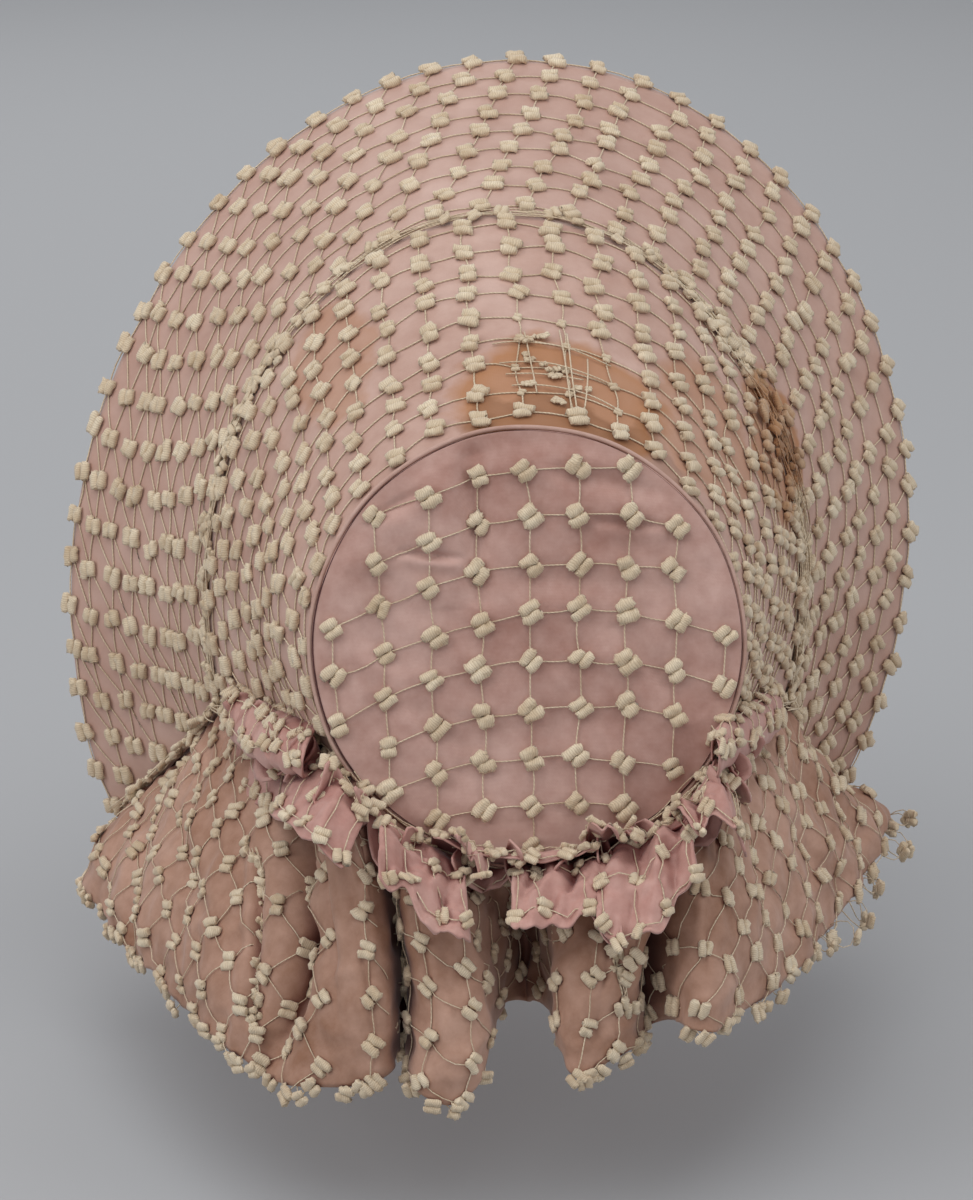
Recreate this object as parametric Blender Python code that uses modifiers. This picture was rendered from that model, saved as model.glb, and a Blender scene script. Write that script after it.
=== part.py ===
"""Poke bonnet of pink silk: a round crown tip, a flaring crown side, a deep brim that frames
the face, and a gathered curtain over the neck with a pleated heading.

Metres, +Z up. The wearer looks along -Y and the origin is where the crown sits on the head.
"""
import bpy
import bmesh
from math import acos, cos, pi, radians, sin
from mathutils import Matrix, Vector

# Walls and clearances
STIFF_WALL = 0.0020
CURTAIN_WALL = 0.0012
PLEAT_WALL = 0.0012
CLEARANCE = 0.0003

# Crown tip: a round, slightly domed disc that leans forward at its top
TIP_RADIUS = 0.0760
TIP_DOME = 0.0030
TIP_LEAN = radians(13.5)
TIP_BEHIND_SEAT = 0.0750
TIP_BELOW_SEAT = 0.1000
TIP_NECK_ANGLE = radians(125)
TIP_STEPS = 64

# Piping round the tip
PIPING_RADIUS = 0.0012

# Brim seam: the horseshoe where the crown side meets the brim
SEAM_HALF_WIDTH = 0.1110
SEAM_RISE = 0.1380
SEAM_FALL = 0.1650
SEAM_WIDEST_BELOW_TIP = 0.0160
SEAM_END_DROP = 0.0450
CROWN_DEPTH_TOP = 0.1360
CROWN_DEPTH_NECK = 0.1120

# Brim edge: the horseshoe round the face
BRIM_HALF_WIDTH = 0.1630
BRIM_RISE = 0.1810
BRIM_FALL = 0.1960
BRIM_WIDEST_BELOW_TIP = 0.0280
BRIM_CORNER_DROP = 0.1000
BRIM_SWAY = 0.07
BRIM_DEPTH_TOP = 0.1240
BRIM_DEPTH_CORNER = 0.0600
BRIM_HOLLOW = 0.0060

# Curtain and its heading
NECK_GAP = 0.0012
CURTAIN_DEPTH = 0.1100
CURTAIN_STEPS_PER_FOLD = 3
CURTAIN_ROWS = 9
PLEAT_DEPTH = 0.0340
PLEAT_STEPS = 6

TIP_CENTRE = Vector((0, TIP_BEHIND_SEAT, -TIP_BELOW_SEAT))
TIP_OUT = Vector((0, cos(TIP_LEAN), sin(TIP_LEAN)))
TIP_UP = Vector((0, -sin(TIP_LEAN), cos(TIP_LEAN)))

# Folds of the curtain from the left front corner, seen from behind, to the right one.
# share: place along the neck line, 1 and -1 at its ends and 0 at the back.
# side, back, drop: where the hem hangs from that place. tuck: how far the middle of the
# fold is drawn in under the heading. All but share are shares of CURTAIN_DEPTH.
CURTAIN_COLUMNS = ("share", "side", "back", "drop", "tuck")
CURTAIN_FOLDS = (
    (1.00, 0.06, -0.03, 0.20, 0.00),
    (0.92, 0.22, 0.07, 0.31, 0.00),
    (0.82, 0.27, 0.19, 0.52, 0.00),
    (0.71, 0.26, 0.43, 0.70, 0.00),
    (0.61, 0.22, 0.57, 0.78, 0.00),
    (0.53, 0.19, 0.64, 0.81, 0.00),
    (0.47, 0.15, 0.67, 0.86, 0.04),
    (0.43, 0.11, 0.63, 0.91, 0.22),
    (0.39, 0.05, 0.65, 0.90, 0.06),
    (0.33, -0.04, 0.60, 0.89, 0.00),
    (0.28, -0.10, 0.49, 0.87, 0.00),
    (0.245, -0.13, 0.33, 0.84, 0.00),
    (0.21, -0.12, 0.07, 0.83, 0.08),
    (0.175, -0.08, 0.34, 0.76, 0.04),
    (0.14, -0.09, 0.42, 0.75, 0.00),
    (0.10, -0.09, 0.39, 0.67, 0.00),
    (0.07, -0.07, 0.22, 0.55, 0.00),
    (0.04, -0.06, -0.09, 0.52, 0.10),
    (0.01, -0.06, -0.22, 0.55, 0.12),
    (-0.03, -0.00, -0.12, 0.52, 0.10),
    (-0.065, 0.08, 0.25, 0.52, 0.00),
    (-0.10, 0.12, 0.39, 0.60, 0.00),
    (-0.15, 0.15, 0.38, 0.63, 0.00),
    (-0.19, 0.14, 0.29, 0.67, 0.00),
    (-0.23, 0.15, 0.14, 0.75, 0.14),
    (-0.27, 0.13, 0.39, 0.70, 0.02),
    (-0.33, 0.08, 0.62, 0.70, 0.00),
    (-0.40, 0.01, 0.60, 0.69, 0.00),
    (-0.47, -0.07, 0.54, 0.68, 0.02),
    (-0.56, -0.12, 0.46, 0.65, 0.00),
    (-0.65, -0.17, 0.37, 0.63, 0.05),
    (-0.74, -0.22, 0.24, 0.56, 0.00),
    (-0.83, -0.27, 0.08, 0.40, 0.03),
    (-0.92, -0.25, -0.03, 0.26, 0.00),
    (-1.00, -0.15, -0.09, 0.13, 0.00),
)

# Pleats of the heading, each a flap between two places on the neck line.
# from_share, to_share: its seam. layer: how many walls it lies above the lowest pleats.
# The next six say how far its free corners lie to the side, back and up from the ends of
# that seam, and puff how far its middle swells, all as shares of PLEAT_DEPTH.
PLEAT_COLUMNS = ("name", "from_share", "to_share", "layer", "from_side", "from_back",
                 "from_up", "to_side", "to_back", "to_up", "puff")
HEADING_PLEATS = (
    ("left_roll", 0.60, 0.360, 1.5, 0.15, 1.25, -0.20, 0.02, 0.90, -0.06, 0.38),
    ("left_under", 0.54, 0.350, 0.0, 0.38, 0.80, -0.52, 0.24, 0.66, -0.50, 0.04),
    ("left_flap", 0.318, 0.215, 0.0, 0.22, 0.74, -0.40, 0.32, 0.88, -0.24, 0.14),
    ("left_low", 0.180, 0.09, 0.0, 0.04, 1.20, -0.50, -0.22, 1.08, -0.20, 0.16),
    ("left_ear", 0.088, 0.062, 1.5, -0.02, 0.72, 0.46, 0.02, 0.62, 0.58, 0.05),
    ("back_strip", 0.048, -0.105, 1.5, 0.20, 0.30, 0.50, 0.30, 0.36, 0.34, 0.05),
    ("right_ear", -0.120, -0.175, 1.5, 0.34, 0.62, 0.44, 0.72, 0.64, 0.16, 0.05),
    ("right_lobe", -0.015, -0.098, 0.0, 0.00, 1.02, -0.02, 0.26, 1.30, -0.40, 0.12),
    ("right_broad_lobe", -0.115, -0.205, 0.0, 0.34, 1.34, -0.42, 0.12, 1.14, -0.62, 0.16),
    ("right_flap", -0.215, -0.325, 0.0, -0.18, 0.70, -0.24, -0.30, 0.80, -0.46, 0.10),
    ("right_roll", -0.335, -0.52, 1.0, -0.04, 0.86, 0.06, -0.10, 1.35, -0.10, 0.24),
)


def clear_scene():
    for obj in list(bpy.data.objects):
        bpy.data.objects.remove(obj)


def new_collection(name):
    collection = bpy.data.collections.new(name)
    bpy.context.scene.collection.children.link(collection)
    return collection


def cloth_material(name, colour, roughness):
    material = bpy.data.materials.new(name)
    material.use_nodes = True
    shader = material.node_tree.nodes["Principled BSDF"]
    shader.inputs["Base Color"].default_value = (*colour, 1)
    shader.inputs["Roughness"].default_value = roughness
    shader.inputs["Metallic"].default_value = 0
    return material


def add_mesh_object(name, mesh, collection, material):
    obj = bpy.data.objects.new(name, mesh)
    obj.data.materials.append(material)
    collection.objects.link(obj)
    for polygon in obj.data.polygons:
        polygon.use_smooth = True
    return obj


def add_sheet(name, columns, rows, point, wall, stiff, collection, material):
    """A cloth wall on the surface that point(across, down) gives, both from 0 to 1.

    A stiff wall lies inside that surface, a soft one has it in its middle.
    """
    mesh = bmesh.new()
    grid = []
    for i in range(columns + 1):
        grid.append([mesh.verts.new(point(i / columns, j / rows)) for j in range(rows + 1)])
    for i in range(columns):
        for j in range(rows):
            mesh.faces.new((grid[i][j], grid[i + 1][j], grid[i + 1][j + 1], grid[i][j + 1]))
    data = bpy.data.meshes.new(name)
    mesh.to_mesh(data)
    mesh.free()
    obj = add_mesh_object(name, data, collection, material)
    solidify = obj.modifiers.new("Wall", "SOLIDIFY")
    solidify.thickness = wall
    solidify.offset = -1 if stiff else 0
    solidify.use_even_offset = stiff
    return obj


def mix(start, end, share):
    return start + (end - start) * share


def horseshoe(half_width, rise, fall, angle):
    """A point of an upright horseshoe: angle 0 is its top, a long half ellipse its legs."""
    height = rise if cos(angle) > 0 else fall
    return half_width * sin(angle), height * cos(angle)


def tip_point(angle, radius, out):
    """A point in the tip's leaning plane, angle 0 at its top, out from its rim's face."""
    return (TIP_CENTRE + Vector((radius * sin(angle), 0, 0)) + TIP_UP * (radius * cos(angle))
            + TIP_OUT * out)


def seam_point(turn):
    """The brim seam from one neck end to the other, turn -1 to 1."""
    angle = turn * acos(-SEAM_END_DROP / SEAM_FALL)
    side, height = horseshoe(SEAM_HALF_WIDTH, SEAM_RISE, SEAM_FALL, angle)
    depth = mix(CROWN_DEPTH_TOP, CROWN_DEPTH_NECK, sin(turn * pi / 2) ** 2)
    return TIP_CENTRE + Vector((side, -depth, height - SEAM_WIDEST_BELOW_TIP))


def edge_point(turn):
    """The brim's front edge from one corner to the other, turn -1 to 1."""
    angle = turn * acos(-BRIM_CORNER_DROP / BRIM_FALL)
    side, height = horseshoe(BRIM_HALF_WIDTH, BRIM_RISE, BRIM_FALL, angle)
    side -= BRIM_SWAY * height
    depth = mix(CROWN_DEPTH_TOP + BRIM_DEPTH_TOP, CROWN_DEPTH_NECK + BRIM_DEPTH_CORNER,
                sin(turn * pi / 2) ** 2)
    return TIP_CENTRE + Vector((side, -depth, height - BRIM_WIDEST_BELOW_TIP))


def crown_point(turn, forward):
    """The crown side's outer face, forward 0 at the tip and 1 at the brim seam."""
    back_edge = tip_point(turn * TIP_NECK_ANGLE, TIP_RADIUS, -STIFF_WALL - CLEARANCE)
    return mix(back_edge, seam_point(turn), forward)


def brim_point(turn, forward):
    """The brim's outer face, forward 0 at the seam and 1 at the edge round the face."""
    start = seam_point(turn) - Vector((0, CLEARANCE + 0.3 * STIFF_WALL, 0))
    point = mix(start, edge_point(turn), forward)
    axis = Vector((0, point.y, TIP_CENTRE.z - SEAM_WIDEST_BELOW_TIP))
    inward = (axis - point).normalized()
    return point + inward * (BRIM_HOLLOW * sin(turn * pi / 2) ** 2 * 4 * forward * (1 - forward))


def neck_polyline():
    """The line that the curtain hangs from: brim corner, seam end, tip and back again."""
    drop = Vector((0, 0, -(CURTAIN_WALL + NECK_GAP)))
    sides = []
    for turn in (1, -1):
        side = [brim_point(turn, step / 8) + drop for step in range(8, 0, -1)]
        side += [crown_point(turn, step / 8) + drop for step in range(8, 0, -1)]
        sides.append(side)
    radius = TIP_RADIUS + 2 * CLEARANCE + 2 * PIPING_RADIUS + CURTAIN_WALL
    first = TIP_NECK_ANGLE + radians(3)
    under = [tip_point(mix(first, 2 * pi - first, step / 24), radius, 0) for step in range(25)]
    return sides[0] + under + sides[1][::-1]


class Line:
    """A polyline read by its share of length, 1 at its first point and -1 at its last."""

    def __init__(self, points):
        self.points = points
        self.lengths = [0.0]
        for start, end in zip(points, points[1:]):
            self.lengths.append(self.lengths[-1] + (end - start).length)

    def at(self, share):
        wanted = (1 - share) / 2 * self.lengths[-1]
        for i in range(1, len(self.points)):
            if wanted <= self.lengths[i] or i == len(self.points) - 1:
                run = self.lengths[i] - self.lengths[i - 1]
                return mix(self.points[i - 1], self.points[i], (wanted - self.lengths[i - 1]) / run)


NECK_LINE = Line(neck_polyline())


def smooth_rows(table, position):
    """A table's row at a fractional position, by a Catmull-Rom curve through its rows."""
    last = len(table) - 1
    i = min(int(position), last - 1)
    t = position - i
    before, start, end, after = (table[min(max(k, 0), last)] for k in (i - 1, i, i + 1, i + 2))
    row = []
    for a, b, c, d in zip(before, start, end, after):
        bend = (2 * a - 5 * b + 4 * c - d) * t * t + (3 * b - a - 3 * c + d) * t ** 3
        row.append(0.5 * (2 * b + (c - a) * t + bend))
    return row


def curtain_point(across, down):
    """The curtain's middle face, across from corner to corner and down from seam to hem."""
    row = smooth_rows(CURTAIN_FOLDS, across * (len(CURTAIN_FOLDS) - 1))
    fold = dict(zip(CURTAIN_COLUMNS, row))
    seam = NECK_LINE.at(fold["share"])
    spread = sin(down * pi / 2)
    tucked = fold["tuck"] * sin(down * pi) * Vector((seam.x, seam.y, 0)).normalized()
    hang = Vector((fold["side"] * spread, fold["back"] * spread, -fold["drop"] * down ** 1.1))
    return seam + CURTAIN_DEPTH * (hang - tucked)


def pleat_point(pleat, across, down):
    """A heading pleat's middle face, down 0 at its seam and 1 at its free edge."""
    share = mix(pleat["from_share"], pleat["to_share"], across)
    outward = NECK_LINE.at(share) - TIP_CENTRE
    outward = Vector((outward.x, max(outward.y, 0), 0)) + Vector((0, TIP_RADIUS, 0))
    lift = Vector((0, 0, CLEARANCE + (1 + pleat["layer"]) * PLEAT_WALL))
    stand = outward.normalized() * (CURTAIN_WALL + 2 * CLEARANCE)
    base = NECK_LINE.at(share) + lift + stand
    start = Vector((pleat["from_side"], pleat["from_back"], pleat["from_up"]))
    end = Vector((pleat["to_side"], pleat["to_back"], pleat["to_up"]))
    free = mix(start, end, across) * down
    swell = Vector((0, 0.4, 1)) * (pleat["puff"] * sin(pi * down ** 0.8))
    return base + PLEAT_DEPTH * (free + swell)


def build_tip(collection, material):
    """A turned disc: its profile, from the dome's middle to the rim, goes round by Screw."""
    mesh = bmesh.new()
    rings = 6
    outer = []
    inner = []
    for step in range(rings + 1):
        share = step / rings
        dome = TIP_DOME * (1 - share ** 2)
        outer.append(mesh.verts.new((TIP_RADIUS * share, 0, dome)))
        inner.append(mesh.verts.new((TIP_RADIUS * share, 0, dome - STIFF_WALL)))
    profile = inner + list(reversed(outer))
    for start, end in zip(profile, profile[1:]):
        mesh.edges.new((start, end))
    data = bpy.data.meshes.new("crown_tip")
    mesh.to_mesh(data)
    mesh.free()
    obj = add_mesh_object("crown_tip", data, collection, material)
    screw = obj.modifiers.new("Turn", "SCREW")
    screw.steps = TIP_STEPS
    screw.render_steps = TIP_STEPS
    screw.use_merge_vertices = True
    screw.merge_threshold = 0.00001
    screw.use_normal_flip = True
    obj.matrix_world = Matrix.Translation(TIP_CENTRE) @ Matrix.Rotation(TIP_LEAN - pi / 2, 4, "X")
    return obj


def build_piping(collection, material):
    """A cord covered in the same silk, round the joint of tip and crown side."""
    curve = bpy.data.curves.new("tip_piping", "CURVE")
    curve.dimensions = "3D"
    curve.bevel_depth = PIPING_RADIUS
    curve.bevel_resolution = 2
    spline = curve.splines.new("POLY")
    spline.points.add(TIP_STEPS - 1)
    for step, point in enumerate(spline.points):
        place = tip_point(2 * pi * step / TIP_STEPS, TIP_RADIUS + CLEARANCE + PIPING_RADIUS,
                          -0.5 * STIFF_WALL)
        point.co = (*place, 1)
    spline.use_cyclic_u = True
    obj = bpy.data.objects.new("tip_piping", curve)
    obj.data.materials.append(material)
    collection.objects.link(obj)
    return obj


def build_crown_side(collection, material):
    return add_sheet("crown_side", 48, 5, lambda across, down: crown_point(1 - 2 * across, down),
                     STIFF_WALL, True, collection, material)


def build_brim(collection, material):
    return add_sheet("brim", 56, 6, lambda across, down: brim_point(1 - 2 * across, down),
                     STIFF_WALL, True, collection, material)


def build_curtain(collection, material):
    columns = (len(CURTAIN_FOLDS) - 1) * CURTAIN_STEPS_PER_FOLD
    return add_sheet("curtain", columns, CURTAIN_ROWS, curtain_point, CURTAIN_WALL, False,
                     collection, material)


def build_heading(collection, material):
    for row in HEADING_PLEATS:
        pleat = dict(zip(PLEAT_COLUMNS, row))
        add_sheet("heading_" + pleat["name"], PLEAT_STEPS, PLEAT_STEPS,
                  lambda across, down: pleat_point(pleat, across, down),
                  PLEAT_WALL, False, collection, material)


def build_bonnet():
    clear_scene()
    collection = new_collection("poke_bonnet")
    stiff_silk = cloth_material("stiff_silk", (0.55, 0.34, 0.33), 0.62)
    soft_silk = cloth_material("soft_silk", (0.46, 0.28, 0.24), 0.66)
    piping_silk = cloth_material("piping_silk", (0.42, 0.23, 0.22), 0.60)
    build_tip(collection, stiff_silk)
    build_piping(collection, piping_silk)
    build_crown_side(collection, stiff_silk)
    build_brim(collection, stiff_silk)
    build_curtain(collection, soft_silk)
    build_heading(collection, soft_silk)


build_bonnet()
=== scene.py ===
# %% [markdown]
# # A pink silk poke bonnet under a tufted net
# The bonnet is seen from behind and a little above: a round crown tip, a crown side that
# flares from it, a deep brim round the face, and a gathered curtain over the neck with a
# crumpled, pleated heading. A cream net of wound tufts lies over all of it.
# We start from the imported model, which gives every piece its place and its greatest size.

# %% Load the frame
import bmesh
import bpy
import numpy as np
from math import acos, cos, pi, radians, sin
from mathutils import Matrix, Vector


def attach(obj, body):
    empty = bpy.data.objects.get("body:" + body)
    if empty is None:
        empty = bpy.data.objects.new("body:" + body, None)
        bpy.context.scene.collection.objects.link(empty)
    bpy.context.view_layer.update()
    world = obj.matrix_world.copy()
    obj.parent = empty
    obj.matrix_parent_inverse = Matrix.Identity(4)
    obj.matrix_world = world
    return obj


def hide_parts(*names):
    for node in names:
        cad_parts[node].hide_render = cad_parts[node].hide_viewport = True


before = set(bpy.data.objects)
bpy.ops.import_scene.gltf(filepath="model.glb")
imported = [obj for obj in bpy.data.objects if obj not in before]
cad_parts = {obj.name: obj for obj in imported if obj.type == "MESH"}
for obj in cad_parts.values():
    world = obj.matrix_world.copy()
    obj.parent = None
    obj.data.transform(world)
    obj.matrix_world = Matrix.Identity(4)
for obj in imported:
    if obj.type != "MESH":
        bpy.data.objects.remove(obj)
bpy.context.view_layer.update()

MM = 0.001

# %% [markdown]
# ## The bonnet's main sizes
# The stiff parts are simple curves, so a few named sizes give them. The tip is a leaning
# disc. The brim seam and the brim edge are two horseshoes, and the walls between disc,
# seam and edge are straight lines from one curve to the next. We write the same curves
# again here, because the net and the creases are laid out along them.

# %% Main sizes, metres
TIP_RADIUS = 76 * MM
TIP_DOME = 3 * MM
TIP_LEAN = radians(13.5)
TIP_CENTRE = np.array([0, 75 * MM, -100 * MM])
TIP_OUT = np.array([0, cos(TIP_LEAN), sin(TIP_LEAN)])
TIP_UP = np.array([0, -sin(TIP_LEAN), cos(TIP_LEAN)])
TIP_NECK_ANGLE = radians(125)
SEAM_HALF_WIDTH, SEAM_RISE, SEAM_FALL = 111 * MM, 138 * MM, 165 * MM
SEAM_WIDEST_BELOW_TIP = 16 * MM
SEAM_END_DROP = 45 * MM
CROWN_DEPTH_TOP, CROWN_DEPTH_NECK = 136 * MM, 112 * MM
BRIM_HALF_WIDTH, BRIM_RISE, BRIM_FALL = 163 * MM, 181 * MM, 196 * MM
BRIM_WIDEST_BELOW_TIP = 28 * MM
BRIM_CORNER_DROP = 100 * MM
BRIM_SWAY = 0.07
BRIM_DEPTH_TOP, BRIM_DEPTH_CORNER = 124 * MM, 60 * MM
BRIM_HOLLOW = 6 * MM
STIFF_WALL = 2 * MM
SOFT_WALL = 0.8 * MM
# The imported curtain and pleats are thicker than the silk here, which keeps to their places.
PACKED_SOFT_WALL = 1.2 * MM
CLEARANCE = 0.3 * MM
PIPING_RADIUS = 1.2 * MM
NECK_GAP = 2.4 * MM
CURTAIN_DEPTH = 110 * MM
PLEAT_DEPTH = 34 * MM


# %% Curves of the stiff parts
def mix(start, end, share):
    return start + (end - start) * share


def spread(*columns):
    """Puts numbers or arrays of numbers together as points in the last axis."""
    return np.stack(np.broadcast_arrays(*columns), axis=-1)


def unit(rows):
    return rows / np.linalg.norm(rows, axis=-1, keepdims=True)


def horseshoe(half_width, rise, fall, angle):
    height = np.where(np.cos(angle) > 0, rise, fall)
    return half_width * np.sin(angle), height * np.cos(angle)


def tip_place(side, up, out):
    """A point in the tip's leaning plane: side and up from its middle, out from its face."""
    side, up, out = np.broadcast_arrays(side, up, out)
    return (TIP_CENTRE + spread(side, 0 * side, 0 * side) + up[..., None] * TIP_UP
            + out[..., None] * TIP_OUT)


def seam_place(turn):
    angle = turn * acos(-SEAM_END_DROP / SEAM_FALL)
    side, height = horseshoe(SEAM_HALF_WIDTH, SEAM_RISE, SEAM_FALL, angle)
    depth = mix(CROWN_DEPTH_TOP, CROWN_DEPTH_NECK, np.sin(turn * pi / 2) ** 2)
    return TIP_CENTRE + spread(side, -depth, height - SEAM_WIDEST_BELOW_TIP)


def edge_place(turn):
    angle = turn * acos(-BRIM_CORNER_DROP / BRIM_FALL)
    side, height = horseshoe(BRIM_HALF_WIDTH, BRIM_RISE, BRIM_FALL, angle)
    side = side - BRIM_SWAY * height
    depth = mix(CROWN_DEPTH_TOP + BRIM_DEPTH_TOP, CROWN_DEPTH_NECK + BRIM_DEPTH_CORNER,
                np.sin(turn * pi / 2) ** 2)
    return TIP_CENTRE + spread(side, -depth, height - BRIM_WIDEST_BELOW_TIP)


def crown_place(turn, forward):
    """The crown side: turn from -1 to 1 round it, forward from 0 at the tip to 1."""
    turn, forward = np.broadcast_arrays(turn, forward)
    angle = turn * TIP_NECK_ANGLE
    back_edge = tip_place(TIP_RADIUS * np.sin(angle), TIP_RADIUS * np.cos(angle),
                          -STIFF_WALL - CLEARANCE)
    return mix(back_edge, seam_place(turn), forward[..., None])


def brim_place(turn, forward):
    """The brim: turn from -1 to 1 round it, forward from 0 at the seam to 1 at the edge."""
    turn, forward = np.broadcast_arrays(turn, forward)
    start = seam_place(turn) - np.array([0, CLEARANCE + 0.3 * STIFF_WALL, 0])
    point = mix(start, edge_place(turn), forward[..., None])
    axis = spread(0 * turn, point[..., 1], TIP_CENTRE[2] - SEAM_WIDEST_BELOW_TIP + 0 * turn)
    inward = unit(axis - point)
    hollow = BRIM_HOLLOW * np.sin(turn * pi / 2) ** 2 * 4 * forward * (1 - forward)
    return point + inward * hollow[..., None]


print("brim width, mm:", round(np.ptp(edge_place(np.linspace(-1, 1, 99))[:, 0]) / MM))

# %% [markdown]
# ## Soft relief
# Old silk over a stiff form is never quite flat. It swells a little, and it keeps the
# creases it was folded with. So every silk gets a slow swell, made from a few sine waves
# that cross each other. Tip and curtain also get creases from a short table. Each crease
# is a line between two places with a sharp groove and a soft ridge beside it.


# %% Swell and creases
def swell(points, size, seed):
    """A slow random wave, about -1 to 1, that only depends on the place in space."""
    rng = np.random.default_rng(seed)
    wave = np.zeros(points.shape[:-1])
    for scale in (1, 1, 1, 1.9, 1.9, 3.1):
        direction = rng.normal(size=3)
        direction *= scale * 2 * pi / (size * np.linalg.norm(direction))
        wave = wave + np.sin(points @ direction + rng.uniform(0, 2 * pi)) / scale
    return wave / 2.4


def creases(u, v, table):
    """Grooves with a ridge beside them. Each row: ends in u and v, depth, width."""
    relief = np.zeros(np.shape(u))
    for u0, v0, u1, v1, depth, width in table:
        run, rise = u1 - u0, v1 - v0
        length = np.hypot(run, rise)
        along = ((u - u0) * run + (v - v0) * rise) / length ** 2
        beside = ((v - v0) * run - (u - u0) * rise) / length
        fade = np.clip(1 - np.abs(2 * along - 1), 0, 1) ** 0.5
        groove = np.exp(-(beside / width) ** 2)
        ridge = np.exp(-((beside - 2.2 * width) / (2.0 * width)) ** 2)
        relief += depth * fade * (0.7 * ridge - groove)
    return relief


# Creases of the tip: from side, from up, to side, to up, depth, width, all in mm.
TIP_CREASES = np.array([
    (46, 34, 22, 31, 0.9, 1.3),
    (20, 74, 17, 14, 1.4, 5.0),
    (-22, 44, -50, 42, 0.6, 1.6),
    (58, 44, 34, 56, 0.5, 2.2),
    (-8, 62, -52, 52, 0.7, 4.0),
    (12, 26, -34, 20, 0.5, 5.0),
    (-30, 8, -62, -26, 0.5, 4.5),
    (44, -18, 20, -40, 0.5, 4.5),
    (-4, -8, -12, -60, 0.4, 5.0),
    (60, 6, 42, -10, 0.4, 3.0),
]) * MM
TIP_CREASE_SCALE = 3.2
print("tip creases:", len(TIP_CREASES))

# %% [markdown]
# ## The silk shells
# Tip, crown side and brim are silk drawn over a stiff form. Each is one grid of points on
# its curve, lifted by the relief, and the Solidify modifier gives it its wall. The seam
# edges are pressed back to the curve, so the shells still meet along their seams.


# %% Grid meshes
def put_in_scene(name, data):
    obj = bpy.data.objects.new(name, data)
    bpy.context.scene.collection.objects.link(obj)
    return obj


def grid_mesh(name, points, closed=False):
    """A smooth mesh through a grid of points, rows by columns."""
    rows, columns = points.shape[:2]
    index = np.arange(rows * columns).reshape(rows, columns)
    if closed:
        index = np.hstack([index, index[:, :1]])
    quads = np.stack([index[:-1, :-1], index[1:, :-1], index[1:, 1:], index[:-1, 1:]], axis=-1)
    mesh = bpy.data.meshes.new(name)
    mesh.from_pydata(points.reshape(-1, 3).tolist(), [], quads.reshape(-1, 4).tolist())
    mesh.shade_smooth()
    return put_in_scene(name, mesh)


def add_wall(obj, wall, offset):
    solidify = obj.modifiers.new("Wall", "SOLIDIFY")
    solidify.thickness = wall
    solidify.offset = offset


# %% Tip
# The tip's silk rolls up a little under the top of its rim. The rings leave a small hole in
# the middle, HUB_SHARE of the area, and one face fills it.
TIP_ROLL = 1.6 * MM
TIP_RINGS, TIP_SPOKES = 84, 252
HUB_SHARE = 0.0002


def tip_silk(side, up):
    """The tip's silk: a low dome with its creases."""
    share = np.hypot(side, up) / TIP_RADIUS
    flat = tip_place(side, up, 0.0)
    hold = np.clip((1 - share) / 0.08, 0, 1)
    relief = (TIP_CREASE_SCALE * creases(side, up, TIP_CREASES)
              + 0.7 * MM * swell(flat, 45 * MM, 3) + 0.30 * MM * swell(flat, 16 * MM, 4))
    roll = TIP_ROLL * np.exp(-((share - 0.84) / 0.10) ** 2) * np.clip(up / TIP_RADIUS, 0, 1)
    return tip_place(side, up, TIP_DOME * (1 - share ** 2) + hold * (relief + roll))


angle = np.linspace(0, 2 * pi, TIP_SPOKES, endpoint=False)
radius = TIP_RADIUS * np.sqrt(np.linspace(HUB_SHARE, 1, TIP_RINGS))
tip = grid_mesh("crown_tip_silk", tip_silk(radius[:, None] * np.sin(angle),
                                           radius[:, None] * np.cos(angle)), closed=True)
hub = bmesh.new()
hub.from_mesh(tip.data)
bmesh.ops.holes_fill(hub, edges=[e for e in hub.edges if e.is_boundary and
                                 (e.verts[0].co - Vector(TIP_CENTRE)).length < 0.1 * TIP_RADIUS])
bmesh.ops.recalc_face_normals(hub, faces=hub.faces)
hub.to_mesh(tip.data)
hub.free()
add_wall(tip, STIFF_WALL * 0.9, -1)
print("tip points:", len(tip.data.vertices))


# %% Crown side and brim
def outward_band(points):
    """Away from the line that runs from front to back through the tip's middle."""
    return (points - TIP_CENTRE) * np.array([1, 0, 1])


def crown_silk(turn, forward):
    """The crown side's silk, with slow folds that fade at its two seams."""
    flat = crown_place(turn, forward)
    hold = np.clip(4 * forward * (1 - forward), 0, 1)
    slack = np.sin(9 * turn + 5 * forward) * np.sin(4 * turn - 7 * forward + 1)
    outward = unit(outward_band(flat))
    relief = 1.1 * MM * swell(flat, 60 * MM, 5) + 0.9 * MM * slack
    return flat + outward * (relief * hold)[..., None]


def brim_silk(turn, forward):
    """The brim's silk: drawn tight at its edge and a little slack by the seam."""
    flat = brim_place(turn, forward)
    hold = np.clip(3 * forward * (1 - forward), 0, 1)
    outward = unit(outward_band(flat))
    pulls = np.sin(60 * turn + 2 * swell(flat, 90 * MM, 11)) * (1 - forward) ** 2
    relief = 1.3 * MM * swell(flat, 80 * MM, 7) + 0.5 * MM * pulls
    return flat + outward * (relief * hold)[..., None]


ROUND_POINTS, CROWN_POINTS, BRIM_POINTS = 241, 37, 41
turns = np.linspace(1, -1, ROUND_POINTS)[:, None]
crown = grid_mesh("crown_side_silk", crown_silk(turns, np.linspace(0, 1, CROWN_POINTS)))
brim = grid_mesh("brim_silk", brim_silk(turns, np.linspace(0, 1, BRIM_POINTS)))
for shell in (crown, brim):
    add_wall(shell, STIFF_WALL, -1)
print("crown side and brim points:", len(crown.data.vertices), len(brim.data.vertices))

# %% [markdown]
# ## The curtain
# The curtain is one wide strip of silk, gathered into the neck seam, and its fulness
# falls in tubes with deep valleys between. A cloth simulation gives folds like these, but
# never the same ones, and the folds of this curtain are its character. So the hem is
# drawn fold by fold in a table, and a smooth curve runs through the rows.

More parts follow.
